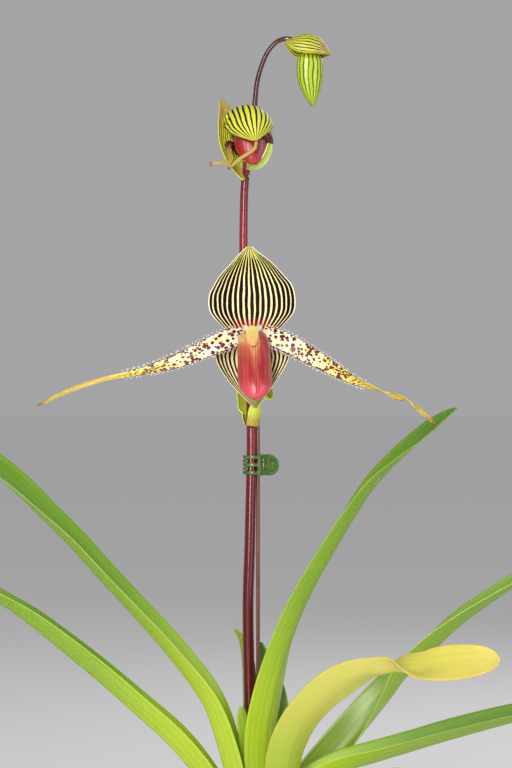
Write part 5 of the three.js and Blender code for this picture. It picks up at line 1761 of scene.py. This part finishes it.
@dataclass(frozen=True)
class Jaw:
    """One jaw of the claw clip: curved tines, a bridge, hinge eyes and a round ribbed thumb pad.

    Its tines and the span of its hinge eyes are heights in mm off the clip's middle.
    """

    node: str
    side: int
    body: str
    tines: tuple[float, ...]
    tine_end: float
    eye: tuple[float, float]

    def headings(self) -> tuple[Vector, Vector]:
        """Gives the way in which the thumb pad stands out, and the way its outer face looks."""
        angle = math.radians(self.side * PAD_ANGLE)
        way = Vector((math.cos(angle), math.sin(angle), 0))
        return way, Vector((-way.y, way.x, 0)) * self.side

    def claw(self, start: float, end: float, middle: float,
             half_height: float) -> bmesh.types.BMesh:
        """Sweeps a rounded section round the claw.

        Args:
            start: Angle of one end in degrees.
            end: Angle of the other end.
            middle: Height of its middle in mm.
            half_height: Half its height.

        Returns:
            The closed mesh.
        """
        def on_claw(part_around: float, part_along: float) -> Vector:
            """Finds a point of the claw's skin, its ends rounded off."""
            near = min(part_along, 1 - part_along) * 12
            full = math.sqrt(max(0.0, 1 - (1 - min(near, 1.0)) ** 2))
            wide, high = rounded(part_around, CLAW_WALL / 2 * full, half_height * full)
            angle = math.radians(self.side * (start + (end - start) * part_along))
            reach_x = CLAW_INNER[0] + CLAW_WALL / 2 + wide
            reach_y = CLAW_INNER[1] + CLAW_WALL / 2 + wide
            return Vector((CLAW_CENTRE[0] + reach_x * math.cos(angle),
                           CLAW_CENTRE[1] + reach_y * math.sin(angle), middle + high))

        return closed_mesh(16, 48, on_claw)

    def arm(self, start: Vector, end: Vector, width: float, low: float,
            high: float) -> bmesh.types.BMesh:
        """Makes a level bar between two points."""
        along = end - start
        turn = Matrix.Rotation(math.atan2(along.y, along.x), 4, "Z")
        middle = (start + end) / 2
        size = Matrix.Diagonal((along.length, width, high - low, 1.0))
        bm = bmesh.new()
        bm.loops.layers.uv.new("UVMap")
        place = Matrix.Translation((middle.x, middle.y, (low + high) / 2)) @ turn @ size
        bmesh.ops.create_cube(bm, size=1.0, matrix=place)
        bmesh.ops.bevel(bm, geom=bm.edges, offset=EDGE_BEVEL, segments=2, affect="EDGES",
                        profile=0.5, material=-1)
        return bm

    def lug(self, low: float, high: float) -> bmesh.types.BMesh:
        """Turns a hinge eye with its bore round the pin."""
        bore, rim, edge = PIN_BORE_RADIUS, LUG_RADIUS, EYE_EDGE
        outline = ((bore, low + edge), (bore + edge, low), (rim - edge, low), (rim, low + edge),
                   (rim, high - edge), (rim - edge, high), (bore + edge, high), (bore, high - edge))
        bm = bmesh.new()
        bm.loops.layers.uv.new("UVMap")
        corners = [bm.verts.new((HINGE_PLACE[0] + radius, HINGE_PLACE[1], height))
                   for radius, height in outline]
        edges = [bm.edges.new((corner, corners[i - 1])) for i, corner in enumerate(corners)]
        turned_mesh(bm, corners, edges, (*HINGE_PLACE, 0), 32)
        return bm

    def pad(self) -> bmesh.types.BMesh:
        """Makes the thumb pad, a disc with a rounded rim and a flat beside the hinge."""
        way, out = self.headings()
        centre = Vector((*HINGE_PLACE, CLIP_HEIGHT)) + way * PAD_REACH
        flat = PAD_REACH - LUG_RADIUS - 0.5

        def on_pad(part_around: float, part_along: float) -> Vector:
            """Finds a point of the pad, from the middle of one face to the middle of the other."""
            angle = turned(part_around)
            rim = PAD_RADIUS - PAD_THICKNESS / 2
            turn = math.pi * min(max((part_along - PAD_RIM_START) / 0.3, 0.0), 1.0)
            radius = rim * min(1.0, min(part_along, 1 - part_along) / PAD_RIM_START)
            bulge = math.sin(turn) * PAD_THICKNESS / 2
            height = -math.cos(turn) * PAD_THICKNESS / 2
            along = max((radius + bulge) * math.cos(angle), -flat)
            up = Vector((0, 0, (radius + bulge) * math.sin(angle)))
            return centre + way * along + up + out * height

        return closed_mesh(64, 40, on_pad)

    def ribs(self) -> list[bmesh.types.BMesh]:
        """Makes the fan of grip ribs on the pad's outer face and its raised half ring."""
        way, out = self.headings()
        centre = Vector((*HINGE_PLACE, CLIP_HEIGHT)) + way * PAD_REACH
        centre += out * (PAD_THICKNESS / 2 - 0.1)
        made = []
        for i in range(GRIP_RIBS):
            tilt = math.radians(GRIP_PITCH * (i - GRIP_RIBS // 2))
            spoke = way * math.cos(tilt) + Vector((0, 0, 1)) * math.sin(tilt)
            other = spoke.cross(out)

            def on_rib(part_around: float, part_along: float) -> Vector:
                """Finds a point of a rib, long and round."""
                angle = turned(part_around)
                thick = GRIP_RADIUS * math.sqrt(max(0.0, 1 - (2 * part_along - 1) ** 4))
                reach = PAD_RADIUS - 2.5 + 2.7 * part_along
                return away_from(centre + spoke * reach, other, out, thick, angle)

            made.append(closed_mesh(10, 10, on_rib))

        def on_ridge(part_around: float, part_along: float) -> Vector:
            """Finds a point of the ridge inside the fan."""
            angle = turned(part_around)
            sweep = math.radians(-120 + 240 * part_along)
            thick = RIDGE_RADIUS * math.sqrt(max(0.0, 1 - (2 * part_along - 1) ** 6))
            spoke = way * math.cos(sweep) + Vector((0, 0, 1.2)) * math.sin(sweep)
            return centre + spoke * (2.3 + thick * math.cos(angle)) + out * thick * math.sin(angle)

        made.append(closed_mesh(10, 32, on_ridge))
        return made

    def build(self) -> None:
        """Builds the jaw's parts, which all ride with it."""
        hinge = Vector((*HINGE_PLACE, 0))
        way, _ = self.headings()
        angle = math.radians(WEB_ANGLE)
        web = Vector((CLAW_CENTRE[0] + (CLAW_INNER[0] + CLAW_WALL / 2) * math.cos(angle),
                      CLAW_CENTRE[1] + self.side * (CLAW_INNER[1] + CLAW_WALL / 2)
                      * math.sin(angle), 0))
        meshes = [self.claw(34, 62, CLIP_HEIGHT, PAD_RADIUS + 0.6), self.pad(), *self.ribs()]
        meshes += [self.claw(TINE_START, self.tine_end, CLIP_HEIGHT + rise, TINE_HEIGHT / 2)
                   for rise in self.tines]
        near, far = self.eye
        for low, high in ((CLIP_HEIGHT + near, CLIP_HEIGHT + far),
                          (CLIP_HEIGHT - far, CLIP_HEIGHT - near)):
            meshes += [self.lug(low, high),
                       self.arm(hinge + (web - hinge).normalized() * 1.3, web, 1.8, low, high),
                       self.arm(hinge + way * 1.4, hinge + way * PAD_REACH, 1.5, low, high)]
        for i, bm in enumerate(meshes):
            make_piece(bm, f"{self.node}_part_{i}", (CLIP_PLASTIC,), (self.node,),
                       self.body)


class Clip:
    """The green claw clip: two jaws on a sprung pin."""

    def build_spring(self) -> None:
        """Builds the pin and the coiled wire on it."""
        x, y = HINGE_PLACE
        half = PAD_RADIUS + 0.9

        def on_pin(part_around: float, part_along: float) -> Vector:
            """Finds a point of the pin, its ends rounded."""
            angle = turned(part_around)
            near = min(part_along, 1 - part_along) * 20
            radius = PIN_RADIUS * math.sqrt(max(0.0, 1 - (1 - min(near, 1.0)) ** 2))
            return Vector((x + radius * math.cos(angle), y + radius * math.sin(angle),
                           CLIP_HEIGHT - half + 2 * half * part_along))

        def on_wire(part_around: float, part_along: float) -> Vector:
            """Finds a point of the wire, three turns round the pin."""
            angle = turned(part_around)
            sweep = 2 * WIRE_TURNS * math.pi * part_along
            thick = WIRE_RADIUS if 0 < part_along < 1 else 0.0
            reach = PIN_RADIUS + 0.4 + thick * math.cos(angle)
            height = CLIP_HEIGHT - 1.05 + 2.1 * part_along + thick * math.sin(angle)
            return Vector((x + reach * math.cos(sweep), y + reach * math.sin(sweep), height))

        for name, bm in (("clip_pin", closed_mesh(20, 40, on_pin)),
                         ("clip_wire", closed_mesh(10, 96, on_wire))):
            make_piece(bm, name, (SPRING_STEEL,), ("clip_spring",))

    def build(self) -> None:
        """Builds the jaws and the spring."""
        Jaw("clip_front_jaw", -1, FRONT_JAW, (-TINE_PITCH, 0.0, TINE_PITCH), tine_end=176.0,
            eye=(4.4, 7.4)).build()
        Jaw("clip_back_jaw", 1, PLANT, (-TINE_PITCH / 2, TINE_PITCH / 2), tine_end=238.0,
            eye=(1.3, 4.1)).build()
        self.build_spring()


def main() -> None:
    """Builds the studio and every piece."""
    logging.basicConfig(level=logging.INFO, format="%(message)s")
    random.seed(SEED)
    Studio().build()
    for part in (Pot(), Stems(), Leaves(), OpenFlower(), OpeningFlower(), TopBud(), Clip()):
        part.build()
        LOG.info("built %s", type(part).__name__)


if __name__ == "__main__":
    main()
